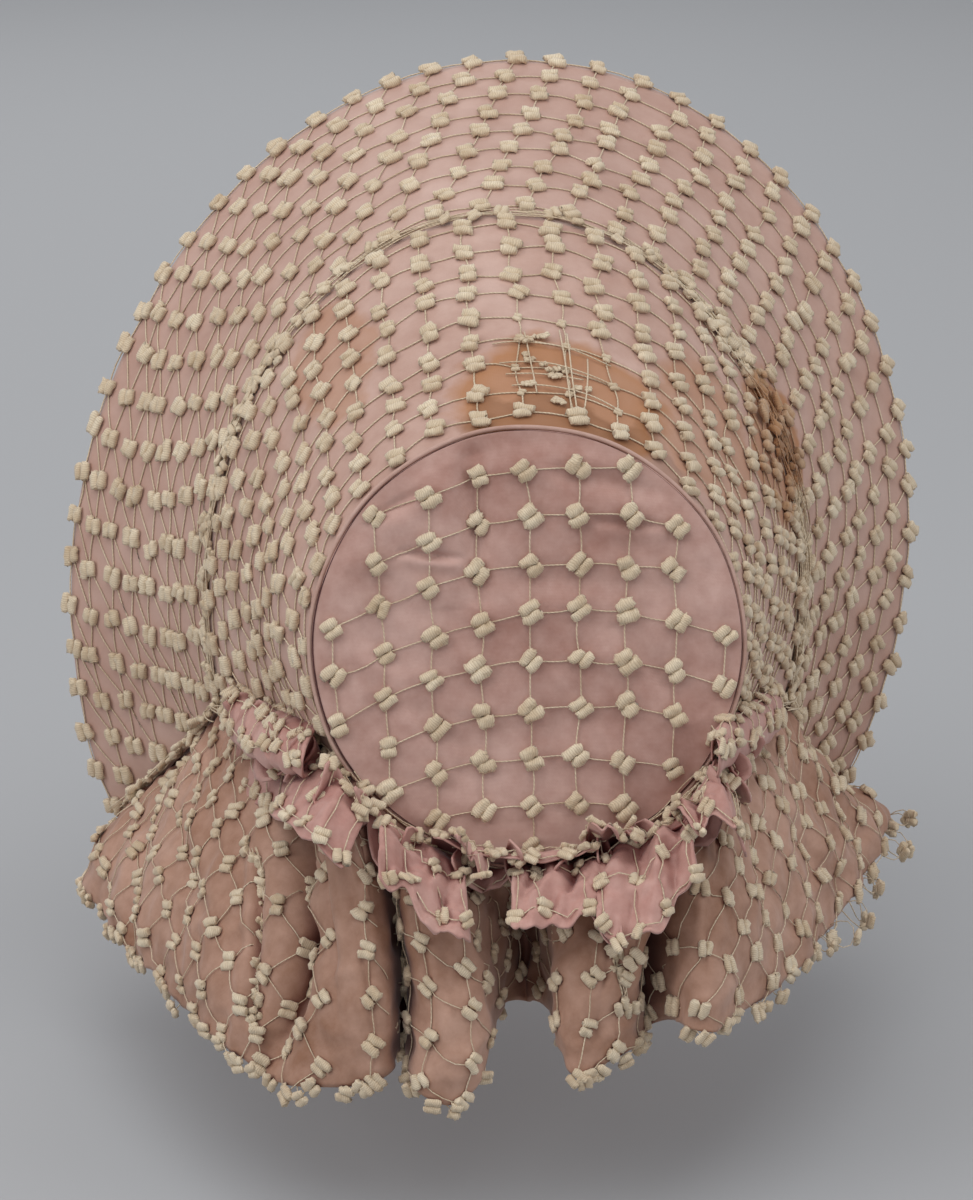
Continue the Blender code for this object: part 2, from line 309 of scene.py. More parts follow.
# %% Neck seam
def neck_line():
    """The seam that the curtain hangs from: from one front corner round to the other."""
    drop = np.array([0, 0, -NECK_GAP])
    steps = np.arange(8, 0, -1) / 8
    sides = [np.vstack([brim_place(turn, steps) + drop, crown_place(turn, steps) + drop])
             for turn in (1.0, -1.0)]
    reach = TIP_RADIUS + 2 * CLEARANCE + 2 * PIPING_RADIUS + PACKED_SOFT_WALL
    first = TIP_NECK_ANGLE + radians(3)
    under = np.linspace(first, 2 * pi - first, 25)
    return np.vstack([sides[0], tip_place(reach * np.sin(under), reach * np.cos(under), 0.0),
                      sides[1][::-1]])


NECK = neck_line()
NECK_RUN = np.concatenate([[0], np.cumsum(np.linalg.norm(np.diff(NECK, axis=0), axis=1))])
NECK_SHARE = 1 - 2 * NECK_RUN / NECK_RUN[-1]


def neck_at(share):
    """A place on the neck seam: share 1 and -1 at its ends and 0 at the back."""
    return spread(*(np.interp(-np.asarray(share), -NECK_SHARE, NECK[:, k]) for k in range(3)))


print("neck seam, mm:", round(NECK_RUN[-1] / MM))

# %% Fold table
# share: place on the neck seam. side, back, drop: where the hem hangs from that place,
# as shares of the curtain's depth. tuck: how far the fold's middle is drawn in.
CURTAIN_FOLDS = np.array([
    (1.00, 0.06, -0.03, 0.20, 0.00),
    (0.92, 0.22, 0.07, 0.31, 0.00),
    (0.82, 0.27, 0.19, 0.52, 0.00),
    (0.71, 0.26, 0.43, 0.70, 0.00),
    (0.61, 0.22, 0.57, 0.78, 0.00),
    (0.53, 0.19, 0.64, 0.81, 0.00),
    (0.47, 0.15, 0.67, 0.86, 0.04),
    (0.43, 0.11, 0.63, 0.91, 0.22),
    (0.39, 0.05, 0.65, 0.90, 0.06),
    (0.33, -0.04, 0.60, 0.89, 0.00),
    (0.28, -0.10, 0.49, 0.87, 0.00),
    (0.245, -0.13, 0.33, 0.84, 0.00),
    (0.21, -0.12, 0.07, 0.83, 0.08),
    (0.175, -0.08, 0.34, 0.76, 0.04),
    (0.14, -0.09, 0.42, 0.75, 0.00),
    (0.10, -0.09, 0.39, 0.67, 0.00),
    (0.07, -0.07, 0.22, 0.55, 0.00),
    (0.04, -0.06, -0.09, 0.52, 0.10),
    (0.01, -0.06, -0.22, 0.55, 0.12),
    (-0.03, -0.00, -0.12, 0.52, 0.10),
    (-0.065, 0.08, 0.25, 0.52, 0.00),
    (-0.10, 0.12, 0.39, 0.60, 0.00),
    (-0.15, 0.15, 0.38, 0.63, 0.00),
    (-0.19, 0.14, 0.29, 0.67, 0.00),
    (-0.23, 0.15, 0.14, 0.75, 0.14),
    (-0.27, 0.13, 0.39, 0.70, 0.02),
    (-0.33, 0.08, 0.62, 0.70, 0.00),
    (-0.40, 0.01, 0.60, 0.69, 0.00),
    (-0.47, -0.07, 0.54, 0.68, 0.02),
    (-0.56, -0.12, 0.46, 0.65, 0.00),
    (-0.65, -0.17, 0.37, 0.63, 0.05),
    (-0.74, -0.25, 0.24, 0.53, 0.00),
    (-0.83, -0.30, 0.08, 0.32, 0.03),
    (-0.92, -0.29, -0.03, 0.15, 0.00),
    (-1.00, -0.15, -0.09, 0.13, 0.00),
])
print("rows of the hem's table:", len(CURTAIN_FOLDS))


def fold_rows(share):
    """The table's other columns at any share, by a smooth curve through its rows."""
    order = CURTAIN_FOLDS[::-1]
    knots = order[:, 0]
    k = np.clip(np.searchsorted(knots, share) - 1, 0, len(knots) - 2)
    t = ((share - knots[k]) / (knots[k + 1] - knots[k]))[..., None]
    a, b, c, d = (order[np.clip(k + step, 0, len(knots) - 1), 1:] for step in (-1, 0, 1, 2))
    bend = (2 * a - 5 * b + 4 * c - d) * t ** 2 + (3 * b - a - 3 * c + d) * t ** 3
    return 0.5 * (2 * b + (c - a) * t + bend)


def curtain_place(share, down):
    """The curtain's middle face: share along the neck seam, down from 0 to 1 at the hem."""
    share, down = np.broadcast_arrays(share, down)
    side, back, drop, tuck = np.moveaxis(fold_rows(share), -1, 0)
    seam = neck_at(share)
    out = np.sin(np.clip(down, 0, 1) * pi / 2) + 0.3 * np.clip(down - 1, 0, 1)
    level = seam * np.array([1, 1, 0])
    tucked = (tuck * np.sin(np.clip(down, 0, 1) * pi))[..., None] * unit(level)
    hang = spread(side * out, back * out, -drop * np.clip(down, 0, 2) ** 1.1)
    sideways = np.clip(np.abs(share) / 0.35, 0, 1)
    above = np.clip(-down, 0, 1)
    wing = np.clip((np.abs(share) - 0.62) / 0.08, 0, 1)
    inside = spread(-above * np.sign(share) * sideways, above * (sideways - 1),
                    (12 + 20 * wing) * above ** 2)
    return seam + CURTAIN_DEPTH * (hang - tucked + inside)


# %% Gathers and small folds of the curtain
# Small folds: from share, from down, to share, to down, depth in mm, width in shares.
CURTAIN_CREASES = np.array([
    (0.80, 0.10, 0.74, 0.95, 1.6, 0.020),
    (0.66, 0.15, 0.60, 0.90, 1.4, 0.016),
    (0.52, 0.20, 0.50, 0.95, 1.0, 0.012),
    (0.36, 0.10, 0.34, 0.80, 1.2, 0.010),
    (0.30, 0.30, 0.28, 0.95, 0.9, 0.008),
    (0.16, 0.20, 0.15, 0.90, 0.8, 0.008),
    (-0.13, 0.15, -0.14, 0.90, 0.8, 0.008),
    (-0.34, 0.20, -0.32, 0.85, 1.2, 0.012),
    (-0.43, 0.05, -0.46, 0.80, 1.4, 0.014),
    (-0.62, 0.10, -0.60, 0.85, 1.5, 0.016),
    (-0.70, 0.20, -0.78, 0.80, 1.6, 0.018),
    (0.485, 0.34, 0.462, 0.88, 5.5, 0.009),
    (-0.140, 0.40, -0.175, 0.75, 2.2, 0.008),
    (-0.550, 0.40, -0.690, 0.92, 1.8, 0.012),
    (0.700, 0.40, 0.560, 0.62, 1.6, 0.016),
    (0.420, 0.62, 0.330, 0.50, 1.4, 0.014),
])
CURTAIN_CREASE_SCALE = 1.7


def curtain_silk(share, down):
    """The curtain with its small folds.

    Gathers are short waves that fade below the seam, flutes are long ones that grow to the hem.
    """
    share, down = np.broadcast_arrays(share, down)
    step = 0.5 * MM / CURTAIN_DEPTH
    inward = np.where(share < 0, step, -step)
    flat = curtain_place(share, down)
    across = (curtain_place(share + inward, down) - flat) * -np.sign(inward)[..., None]
    along = curtain_place(share, down + step) - flat
    face = unit(np.cross(along, across))
    below = np.clip(down, 0, 2)
    gathers = np.sin(230 * share + 3 * np.sin(17 * share)) * np.exp(-5.0 * below) * 1.3
    flutes = np.sin(62 * share + 2.5 * below + 2 * np.sin(9 * share)) * below ** 0.5 * 0.9
    table = CURTAIN_CREASES * np.array([1, 1, 1, 1, MM, 1])
    folds = creases(share, down * 0.3, table * np.array([1, 0.3, 1, 0.3, 1, 1]))
    hold = np.clip(down / 0.04, 0, 1) * np.clip(1.02 - np.abs(share), 0, 0.1) * 10
    wrinkles = 1.3 * swell(flat, 40 * MM, 13) + 0.7 * (1 - 2 * np.abs(swell(flat, 26 * MM, 14)))
    relief = MM * (gathers + flutes + wrinkles) + CURTAIN_CREASE_SCALE * folds
    return flat + face * (relief * hold)[..., None]


shares = np.linspace(1, -1, 521)
# The first rows run up behind the neck seam, so no light shows between silk and brim.
downs = np.concatenate([[-0.055, -0.042, -0.03, -0.015], np.linspace(0, 1, 61)])
curtain = grid_mesh("curtain_silk", curtain_silk(shares[:, None], downs))
add_wall(curtain, SOFT_WALL, 0)
print("curtain points:", len(curtain.data.vertices))

# %% [markdown]
# ## The heading
# Above the curtain the strip was folded over and pleated into a crumpled heading. Each
# pleat is a flap between two places on the neck seam. Its free edge is free to curl, so
# the flap is built as a grid, swelled in its middle, and then crumpled a little.

# %% Pleats
# Each pleat: from and to on the neck seam, how many walls it lies up, the ends of its free
# edge (side, back, up, as shares of PLEAT_DEPTH) and how far its middle swells.
HEADING_PLEATS = {
    "left_roll": (0.63, 0.320, 1.5, (0.10, 1.15, -0.12), (0.40, 0.98, -0.14), 0.38),
    "left_under": (0.60, 0.310, 0.0, (0.10, 0.80, -0.62), (0.12, 0.66, -0.55), 0.06),
    "left_flap": (0.345, 0.190, 0.3, (0.50, 0.74, -0.38), (0.36, 0.95, -0.30), 0.10),
    "left_low": (0.180, 0.070, 0.0, (0.05, 1.05, -0.33), (0.00, 1.08, -0.45), 0.14),
    "left_ear": (0.085, 0.035, 1.8, (-0.02, 0.66, 0.42), (0.16, 0.70, 0.10), 0.08),
    "back_strip": (0.110, -0.095, 1.0, (0.00, 0.40, 0.24), (0.12, 0.44, 0.20), 0.10),
    "right_ear": (-0.070, -0.135, 1.8, (-0.05, 0.52, 0.50), (0.05, 0.62, 0.18), 0.10),
    "right_lobe": (0.012, -0.100, 0.5, (0.10, 1.00, -0.18), (-0.05, 1.22, -0.46), 0.16),
    "right_broad_lobe": (-0.082, -0.200, 0.0, (0.05, 1.24, -0.44), (-0.10, 1.10, -0.50), 0.20),
    "right_flap": (-0.180, -0.300, 0.2, (-0.16, 0.78, 0.20), (-0.18, 0.86, -0.55), 0.14),
    "right_roll": (-0.260, -0.580, 1.2, (0.00, 0.95, 0.20), (-0.10, 1.15, -0.10), 0.24),
}
# Rolled pleats: depth and height of the roll, as shares of PLEAT_DEPTH.
ROLLED = {"left_roll": (1.05, 0.46), "right_roll": (1.00, 0.50)}
SMOOTH_PLEATS = ("left_flap", "left_under", "back_strip")
# Each kind: how wavy its free edge is, how high its knife folds are, how much it is crumpled.
PLEAT_KINDS = {"rolled": (0.0, 0.0, 0.6), "smooth": (0.2, 0.5 * MM, 0.4),
               "frilled": (0.8, 2.6 * MM, 0.9)}
FIRST_PLEAT_SEED = 20


def pleat_place(pleat, across, down, wavy):
    """A pleat's middle face, down 0 at its seam and 1 at its free edge."""
    begin, end, layer, start, finish, puff = pleat
    across, down = np.broadcast_arrays(across, down)
    down = down * (1 + wavy * (0.16 * np.sin(6 * across + 90 * begin)
                               + 0.08 * np.sin(15 * across)))
    seam = neck_at(mix(begin, end, across))
    outward = seam - TIP_CENTRE
    outward = unit(spread(outward[..., 0], np.maximum(outward[..., 1], 0) + TIP_RADIUS,
                          0 * outward[..., 2]))
    lift = CLEARANCE + (1 + layer) * PACKED_SOFT_WALL
    base = seam + np.array([0, 0, lift]) + outward * (PACKED_SOFT_WALL + 2 * CLEARANCE)
    free = mix(np.array(start), np.array(finish), across[..., None])
    swelled = puff * np.sin(pi * np.clip(down, 0, 1) ** 0.8)
    return base + PLEAT_DEPTH * (free * down[..., None]
                                 + swelled[..., None] * np.array([0, 0.4, 1]))


def roll_place(name, across, down):
    """A pleat that is rolled over into a flattened tube with an open end."""
    start, finish = HEADING_PLEATS[name][3:5]
    deep, high = ROLLED[name]
    across, down = np.broadcast_arrays(across, down)
    base = pleat_place(HEADING_PLEATS[name], across, 0 * down, 0.0)
    reach = unit(mix(np.array(start), np.array(finish), across[..., None]))
    wide = deep * (0.72 + 0.28 * np.sin(pi * across ** 0.7)) * (1 - 0.16 * down)
    angle = -0.4 + 5.9 * down
    out = 0.5 * wide * (1 - np.cos(angle))
    rise = high * (0.42 + 0.5 * (1 - 0.2 * down) * np.sin(angle))
    return base + PLEAT_DEPTH * (reach * out[..., None] + rise[..., None] * np.array([0, 0, 1]))


def crumpled(flat, seed, hold):
    """Soft and sharp crumples of silk that was pressed together."""
    sharp = 1 - 2 * np.abs(swell(flat, 19 * MM, seed + 40))
    crumple = MM * (0.9 * swell(flat, 17 * MM, seed) + 1.6 * sharp
                    + 0.6 * swell(flat, 7 * MM, seed + 80))
    return flat + np.array([0.1, 0.35, 0.9]) * (crumple * hold)[..., None]


def pleat_silk(name, across, down):
    """A pleat with its knife folds and crumples, which fade at its seam."""
    kind = "rolled" if name in ROLLED else "smooth" if name in SMOOTH_PLEATS else "frilled"
    wavy, fold, pressed = PLEAT_KINDS[kind]
    if kind == "rolled":
        flat = roll_place(name, across, down)
    else:
        flat = pleat_place(HEADING_PLEATS[name], across, down, wavy)
    seed = FIRST_PLEAT_SEED + list(HEADING_PLEATS).index(name)
    hold = np.clip(down / 0.2, 0, 1)
    knife = 4 * np.abs((2.2 * across + 0.60 * down + 0.37 * seed) % 1 - 0.5) - 1
    flat = flat + np.array([0.25, 0.30, 0.85]) * (fold * knife * hold)[..., None]
    return crumpled(flat, seed, pressed * hold)


def ruffle_silk(along, down):
    """The narrow crumpled folds that show between the pleats all along the neck seam."""
    along, down = np.broadcast_arrays(along, down)
    wave = 2 * pi * 16 * along + 2.2 * np.sin(9 * along)
    share = mix(0.50, -0.34, along) + 0.020 * np.sin(wave) * down
    seam = neck_at(share)
    outward = unit((seam - TIP_CENTRE) * np.array([1, 1, 0]) + np.array([0, 0.05, 0]))
    out = 0.34 + 0.14 * np.sin(1.7 * wave + 1)
    rise = 0.08 + 0.24 * np.arcsin(0.97 * np.cos(wave)) + 0.12 * np.sin(0.37 * wave)
    free = outward * out[..., None] + rise[..., None] * np.array([0, 0, 1])
    flat = seam + outward * 1.5 * MM + PLEAT_DEPTH * free * down[..., None]
    return crumpled(flat, 70, np.clip(down / 0.3, 0, 1))


pleat_grid = np.linspace(0, 1, 45)
heading_grids = {name: pleat_silk(name, pleat_grid[:, None], pleat_grid)
                 for name in HEADING_PLEATS}
ruffle_grid = ruffle_silk(np.linspace(0, 1, 321)[:, None], np.linspace(0, 1, 13))
heading = [grid_mesh("heading_silk_" + name, grid) for name, grid in heading_grids.items()]
ruffle = grid_mesh("heading_small_folds", ruffle_grid)
for piece in heading + [ruffle]:
    add_wall(piece, SOFT_WALL, 0)
print("heading pleats:", len(heading))

# %% [markdown]
# ## Piping
# A thin cord covered in bias silk marks the joint of tip and crown side. A curve with a
# round bevel is the plainest way to make it. A second, thin dark line beside it is painted
# shade in the seam's groove.

# %% Piping round the tip
def cord_ring(name, points, radius, thickness=None):
    """A closed round cord through points, thickness is a share of its radius at each."""
    curve = bpy.data.curves.new(name, "CURVE")
    curve.dimensions = "3D"
    curve.bevel_depth = radius
    curve.bevel_resolution = 2
    spline = curve.splines.new("POLY")
    spline.points.add(len(points) - 1)
    spline.points.foreach_set("co", np.column_stack([points, np.ones(len(points))]).ravel())
    spline.use_cyclic_u = True
    if thickness is not None:
        spline.points.foreach_set("radius", thickness)
    return put_in_scene(name, curve)


def tip_ring(reach, out):
    """A ring of points in the tip's plane, at the turns of its own grid."""
    return tip_place(reach * np.sin(angle), reach * np.cos(angle), out)


reach = TIP_RADIUS + 0.85 * PIPING_RADIUS
wobble = 0.35 * MM * np.sin(7 * angle) * np.sin(3 * angle + 1)
piping = cord_ring("tip_piping_silk", tip_ring(reach + wobble, -0.55 * STIFF_WALL),
                   0.70 * PIPING_RADIUS)
# Painted shade: a thin dark cord lies in the groove at the tip's rim, and dark gives its width
# round the rim.
dark = (0.25 + 0.85 * np.exp(-((angle - 1.7) / 0.8) ** 2)
        + 0.40 * np.exp(-((angle - 3.9) / 0.7) ** 2))
seam_shadow_line = cord_ring("tip_seam_shadow_line", tip_ring(TIP_RADIUS - 0.1 * MM + wobble, 0.02 * MM),
                     0.26 * MM, dark)
print("piping length, mm:", round(2 * pi * reach / MM))

# %% [markdown]
# ## The net
# The net is a square mesh of fine cream thread. At every crossing sits a tuft: two short
# bars of wound yarn side by side, like a coffee bean. There are more than a thousand, so
# one bar is made as a small template and copied as arrays of points. A `Net` object
# collects the tufts and threads of one part of the bonnet and turns them into one mesh.

# %% Sizes of the net
# Each tuft differs a little: its turn in radians, its size, and the lean, slip and frayed
# outline of its two bars, as shares of their length or width.
TUFT_LENGTH, TUFT_WIDTH = 7.0 * MM, 4.2 * MM
TUFT_HEIGHT = 0.75
TUFT_TURN, TUFT_VARIES = 0.16, 0.12
BAR_LEAN, BAR_APART, BAR_SLIPS = 0.10, 0.45, 0.06
FRAY = 0.062
WRAPS = 9.0
YARN_TWIST = 1.6 * MM
THREAD_RADIUS = 0.25 * MM
NET_PITCH = 16.8 * MM


# %% Tuft template
def lobe_template(sides=8):
    """One wound bar along x, of unit length and width: a blunt pillow with rounded ends."""
    place = np.array([-1, -0.88, -0.55, 0, 0.55, 0.88, 1])
    profile = np.array([0.50, 0.84, 0.98, 1, 0.98, 0.84, 0.50])
    turn = np.linspace(0, 2 * pi, sides, endpoint=False)
    ring = spread(place[:, None] * 0.5, profile[:, None] * 0.5 * np.cos(turn),
                  profile[:, None] * 0.5 * np.sin(turn)).reshape(-1, 3)
    index = np.arange(len(place) * sides).reshape(-1, sides)
    side = np.roll(index, -1, axis=1)
    quads = np.stack([index[:-1], side[:-1], side[1:], index[1:]], axis=-1).reshape(-1, 4)
    ends = [index[0][::-1].tolist(), index[-1].tolist()]
    return ring, quads, ends


LOBE_POINTS, LOBE_QUADS, LOBE_ENDS = lobe_template()
print("points in one bar:", len(LOBE_POINTS))


# %% Net builder
class Net:
    """Collects tufts and threads and makes one mesh of them."""

    def __init__(self, name, seed):
        self.name = name
        self.rng = np.random.default_rng(seed)
        self.points = []
        self.faces = []
        self.wound = []
        self.count = 0
        self.tufts = 0

    def add(self, points, faces, wound):
        self.points.append(points)
        self.wound.append(wound)
        self.faces.extend([[i + self.count for i in face] for face in faces])
        self.count += len(points)

    def tuft(self, place, normal, bar, size=1.0, open_slit=1.0):
        """Two wound bars side by side on the silk, bar is their direction."""
        rng = self.rng
        normal = unit(normal)
        bar = unit(bar - normal * (bar @ normal))
        turn = rng.normal(0, TUFT_TURN)
        beside = np.cross(normal, bar)
        bar, beside = bar * cos(turn) + beside * sin(turn), beside * cos(turn) - bar * sin(turn)
        length = TUFT_LENGTH * size * rng.uniform(1 - TUFT_VARIES, 1 + TUFT_VARIES)
        width = TUFT_WIDTH * size * rng.uniform(1 - TUFT_VARIES, 1 + TUFT_VARIES)
        height = width * TUFT_HEIGHT
        for sign in (-1, 1):
            lean = rng.normal(0, BAR_LEAN)
            grow = rng.uniform(0.85, 1.1)
            along = bar * cos(lean) + beside * sin(lean)
            across = beside * cos(lean) - bar * sin(lean)
            centre = place + beside * sign * width * BAR_APART * open_slit
            centre = centre + bar * rng.normal(0, BAR_SLIPS) * length + normal * height * 0.45
            shape = (LOBE_POINTS[:, :1] * along * length * grow
                     + LOBE_POINTS[:, 1:2] * across * width
                     + LOBE_POINTS[:, 2:3] * normal * height
                     + rng.normal(0, FRAY * width, LOBE_POINTS.shape))
            self.add(centre + shape, LOBE_QUADS.tolist() + LOBE_ENDS,
                     WRAPS * LOBE_POINTS[:, 0] + rng.uniform(0, 1))
        self.tufts += 1

    def thread(self, path, radius, sides=4):
        """A thin tube along a path of points."""
        path = np.asarray(path)
        run = unit(np.gradient(path, axis=0))
        upright = np.abs(run[:, 2:3]) > 0.8
        guide = np.where(upright, np.array([[1.0, 0, 0]]), np.array([[0, 0, 1.0]]))
        first = unit(np.cross(run, guide))
        second = np.cross(run, first)
        turn = np.linspace(0, 2 * pi, sides, endpoint=False)
        ring = (path[:, None] + radius * (np.cos(turn)[None, :, None] * first[:, None]
                                          + np.sin(turn)[None, :, None] * second[:, None]))
        index = np.arange(len(path) * sides).reshape(-1, sides)
        side = np.roll(index, -1, axis=1)
        quads = np.stack([index[:-1], index[1:], side[1:], side[:-1]], axis=-1).reshape(-1, 4)
        run = np.cumsum(np.linalg.norm(np.diff(path, axis=0, prepend=path[:1]), axis=1))
        twist = run[:, None] / YARN_TWIST + np.arange(sides) / sides
        ends = [index[0].tolist(), index[-1][::-1].tolist()]
        self.add(ring.reshape(-1, 3), quads.tolist() + ends, twist.ravel())

    def build(self):
        mesh = bpy.data.meshes.new(self.name)
        mesh.from_pydata(np.vstack(self.points).tolist(), [], self.faces)
        mesh.shade_smooth()
        wound = mesh.attributes.new("wound", "FLOAT", "POINT")
        wound.data.foreach_set("value", np.concatenate(self.wound).astype(np.float32))
        mesh.calc_loop_triangles()
        print(self.name, "tufts:", self.tufts, "triangles:", len(mesh.loop_triangles))
        return put_in_scene(self.name, mesh)


# %% Laying the net on a surface
def neighbours(nodes, i, j):
    """The crossings after (i, j) in its row and in its column, where the net has them."""
    return [nodes[other] for other in ((i + 1, j), (i, j + 1)) if other in nodes]


def normal_at(place, u, v, outward, step=1e-3):
    """The unit normal of place(u, v), turned to the side that outward points to."""
    du = place(u + step, v) - place(u - step, v)
    dv = place(u, v + step) - place(u, v - step)
    normal = unit(np.cross(du, dv))
    return np.where((normal * outward).sum(axis=-1, keepdims=True) < 0, -normal, normal)


def lay_thread(net, place, start, end, outward, steps=6, lift=0.45 * MM, sag=0.0,
               radius=THREAD_RADIUS):
    """A thread on the surface between two places in its own coordinates."""
    t = np.linspace(0, 1, steps)
    u = mix(start[0], end[0], t)
    v = mix(start[1], end[1], t)
    points = place(u, v)
    normal = normal_at(place, u, v, outward(points))
    bow = sag * np.sin(pi * t) * net.rng.uniform(0.4, 1.3)
    swing = net.rng.normal(0, 0.5 * MM) * np.sin(pi * t)
    beside = np.cross(normal, points[-1] - points[0])
    beside = beside / (np.linalg.norm(beside, axis=-1, keepdims=True) + 1e-9)
    points = points + normal * (lift + bow)[..., None] + beside * swing[..., None]
    net.thread(points, radius)


# %% [markdown]
# ### Net on the tip
# On the tip the crossings stand in columns that open a little towards the top, and the
# rows hang in low arches, because this net was cut from the same strip as the rest.

# %% Tip net
def tip_node(i, j):
    """Column i and row j of the tip's net, as side and up from the tip's middle."""
    up = (63.5 - 17.1 * j) * MM
    side = -i * (17.9 - 0.22 * j) * MM - 0.4 * MM
    middle = mix(-18 * MM, -9 * MM, j / 7)
    return side, up - 3.3 * (side - middle) ** 2


def outward_tip(points):
    return np.broadcast_to(TIP_OUT, points.shape)


tip_net = Net("net_on_tip", 1)
BAR_SLANT = radians(38)
TIP_BAR = TIP_UP * sin(BAR_SLANT) - np.array([cos(BAR_SLANT), 0, 0])
tip_nodes = {}
for i in range(-5, 6):
    for j in range(-2, 10):
        side, up = tip_node(i, j)
        side += tip_net.rng.normal(0, 0.7 * MM)
        up += tip_net.rng.normal(0, 0.7 * MM)
        if np.hypot(side, up) < TIP_RADIUS - 3 * MM:
            tip_nodes[i, j] = (side, up)
for (i, j), (side, up) in tip_nodes.items():
    place = tip_silk(side, up)
    tip_net.tuft(place, TIP_OUT, TIP_BAR)
    for other in neighbours(tip_nodes, i, j):
        lay_thread(tip_net, tip_silk, (side, up), other, outward_tip, sag=0.3 * MM)
net_on_tip = tip_net.build()

# %% [markdown]
# ### Net on crown side and brim
# Here the net was wrapped over the crown like a strip of cloth. A crossing keeps its
# distance from the middle line over the top, measured along the silk, so the columns run
# straight over the crown. On the brim the strip slants, and rows meet its edge.

# %% Round distances
ROUND = np.linspace(-1, 1, 801)


def turn_at(place, distance, forward):
    """The turn at which the line of equal forward is that far from the top, +X positive."""
    points = place(ROUND, forward)
    run = np.concatenate([[0], np.cumsum(np.linalg.norm(np.diff(points, axis=0), axis=1))])
    run = run - np.interp(0, ROUND, run)
    if not run[0] + 1 * MM < distance < run[-1] - 1 * MM:
        return None
    return float(np.interp(distance, run, ROUND))


def lay_band(net, place, nodes, slants, size_of):
    """Tufts and threads for a grid of nodes on the crown side or the brim.

    The bars lie along the round way, and slants turns them forward, by where they are.
    """
    for (i, j), (turn, forward) in nodes.items():
        point = place(turn, forward)
        normal = normal_at(place, turn, forward, outward_band(point))
        round_way = unit(place(turn + 0.004, forward) - point)
        fore_way = unit(place(turn, forward + 0.01) - point)
        slant = np.interp(turn, SLANT_TURNS, slants)
        bar = round_way * cos(slant) - fore_way * sin(slant)
        net.tuft(point, normal, bar, size=size_of(turn, forward))
        for other in neighbours(nodes, i, j):
            lay_thread(net, place, (turn, forward), other, outward_band, steps=5,
                       lift=0.35 * MM, sag=0.2 * MM, radius=0.29 * MM)


# %% Crown side net
# Turns at which a band's slants are given, in radians, and sizes as shares of a full tuft.
SLANT_TURNS = [-1, -0.3, 0, 0.5, 1]
PLAIN_TUFT, WORN_TUFT = 0.98, 0.46
CROWN_ROWS = 9
crown_net = Net("net_on_crown_side", 2)
crown_nodes = {}
for j in range(CROWN_ROWS):
    forward = (j + 0.55) / CROWN_ROWS
    for i in range(-17, 18):
        distance = -i * NET_PITCH * (1.0 - 0.10 * min(abs(i) / 12, 1)) - 0.4 * MM
        distance += crown_net.rng.normal(0, 0.9 * MM)
        turn = turn_at(crown_silk, distance, forward + crown_net.rng.normal(0, 0.008))
        if turn is not None:
            ahead = forward + crown_net.rng.normal(0, 0.010)
            crown_nodes[i, j] = (turn, np.clip(ahead, 0.02, 0.97))


def crown_tuft_size(turn, forward):
    """Tufts over the water stain are worn down to small knots."""
    worn = -0.21 < turn < 0.045 and 0.08 < forward < 0.50
    return WORN_TUFT if worn else PLAIN_TUFT


lay_band(crown_net, crown_silk, crown_nodes, [1.2, 0.7, -0.3, 0.0, 0.1], crown_tuft_size)
# Loose threads over the stain: from and to, by turn and forward.
PULLED = (((0.05, 0.385), (-0.19, 0.365)), ((0.04, 0.300), (-0.20, 0.265)),
          ((0.03, 0.250), (-0.13, 0.255)), ((0.02, 0.195), (-0.20, 0.170)),
          ((-0.085, 0.46), (-0.100, 0.10)), ((-0.100, 0.45), (-0.112, 0.09)),
          ((-0.140, 0.36), (-0.128, 0.12)), ((-0.015, 0.43), (-0.030, 0.16)))
for start, end in PULLED:
    lay_thread(crown_net, crown_silk, start, end, outward_band, steps=14, lift=0.9 * MM,
               sag=1.2 * MM, radius=0.28 * MM)
# Places by turn and forward where worn threads lie in clumps.
CLUMPS = ((-0.02, 0.40), (-0.055, 0.41), (-0.062, 0.27), (-0.068, 0.24), (-0.02, 0.20),
          (-0.015, 0.31), (-0.075, 0.12), (-0.12, 0.20))
KNOTS_IN_CLUMP = 4
for turn, forward in CLUMPS:
    spot = crown_silk(turn, forward)
    for knot in range(KNOTS_IN_CLUMP):
        crown_net.tuft(spot + crown_net.rng.normal(0, 1.3 * MM, 3) * np.array([1, 1, 0.3])
                       + np.array([0, 0, 0.8 * MM]), np.array([0, 0.3, 1.0]),
                       crown_net.rng.normal(size=3), size=0.36)
net_on_crown = crown_net.build()

# %% Brim net
BRIM_ROWS = 8
brim_net = Net("net_on_brim", 4)
brim_nodes = {}
for j in range(BRIM_ROWS + 1):
    forward = 1 - (j - 0.02) / (BRIM_ROWS + 0.35)
    for i in range(-30, 31):
        plain = -i * NET_PITCH
        slant = 0.22 + 1.2 * min(max(plain, 0), 0.2)
        distance = plain + slant * (1 - forward) * BRIM_DEPTH_TOP
        distance += brim_net.rng.normal(0, 0.9 * MM)
        turn = turn_at(brim_silk, distance, forward)
        if turn is not None:
            brim_nodes[i, j] = (turn, min(forward + brim_net.rng.normal(0, 0.010), 1.0))

lay_band(brim_net, brim_silk, brim_nodes, [1.1, 0.5, 0.1, 0.0, 0.0],
         lambda turn, forward: PLAIN_TUFT)
net_on_brim = brim_net.build()

# %% [markdown]
# ### Net on the curtain and the heading
# The net hangs on the curtain on the bias, so its meshes look like diamonds at both ends
# and stand upright on the tubes in the middle. It reaches a little past the hem.

# %% Curtain distances
# The curtain is measured on a grid of places: the run along it at 0.7 of its depth, and the
# run down it from the seam. The grid goes on a little past the hem, for the loops there.
CURTAIN_U = np.linspace(1, -1, 401)
CURTAIN_V = np.linspace(0, 1.1, 45)
LEVEL_COLUMN, HEM_COLUMN = 28, 40


def steps_along(points, axis):
    return np.linalg.norm(np.diff(points, axis=axis), axis=-1)


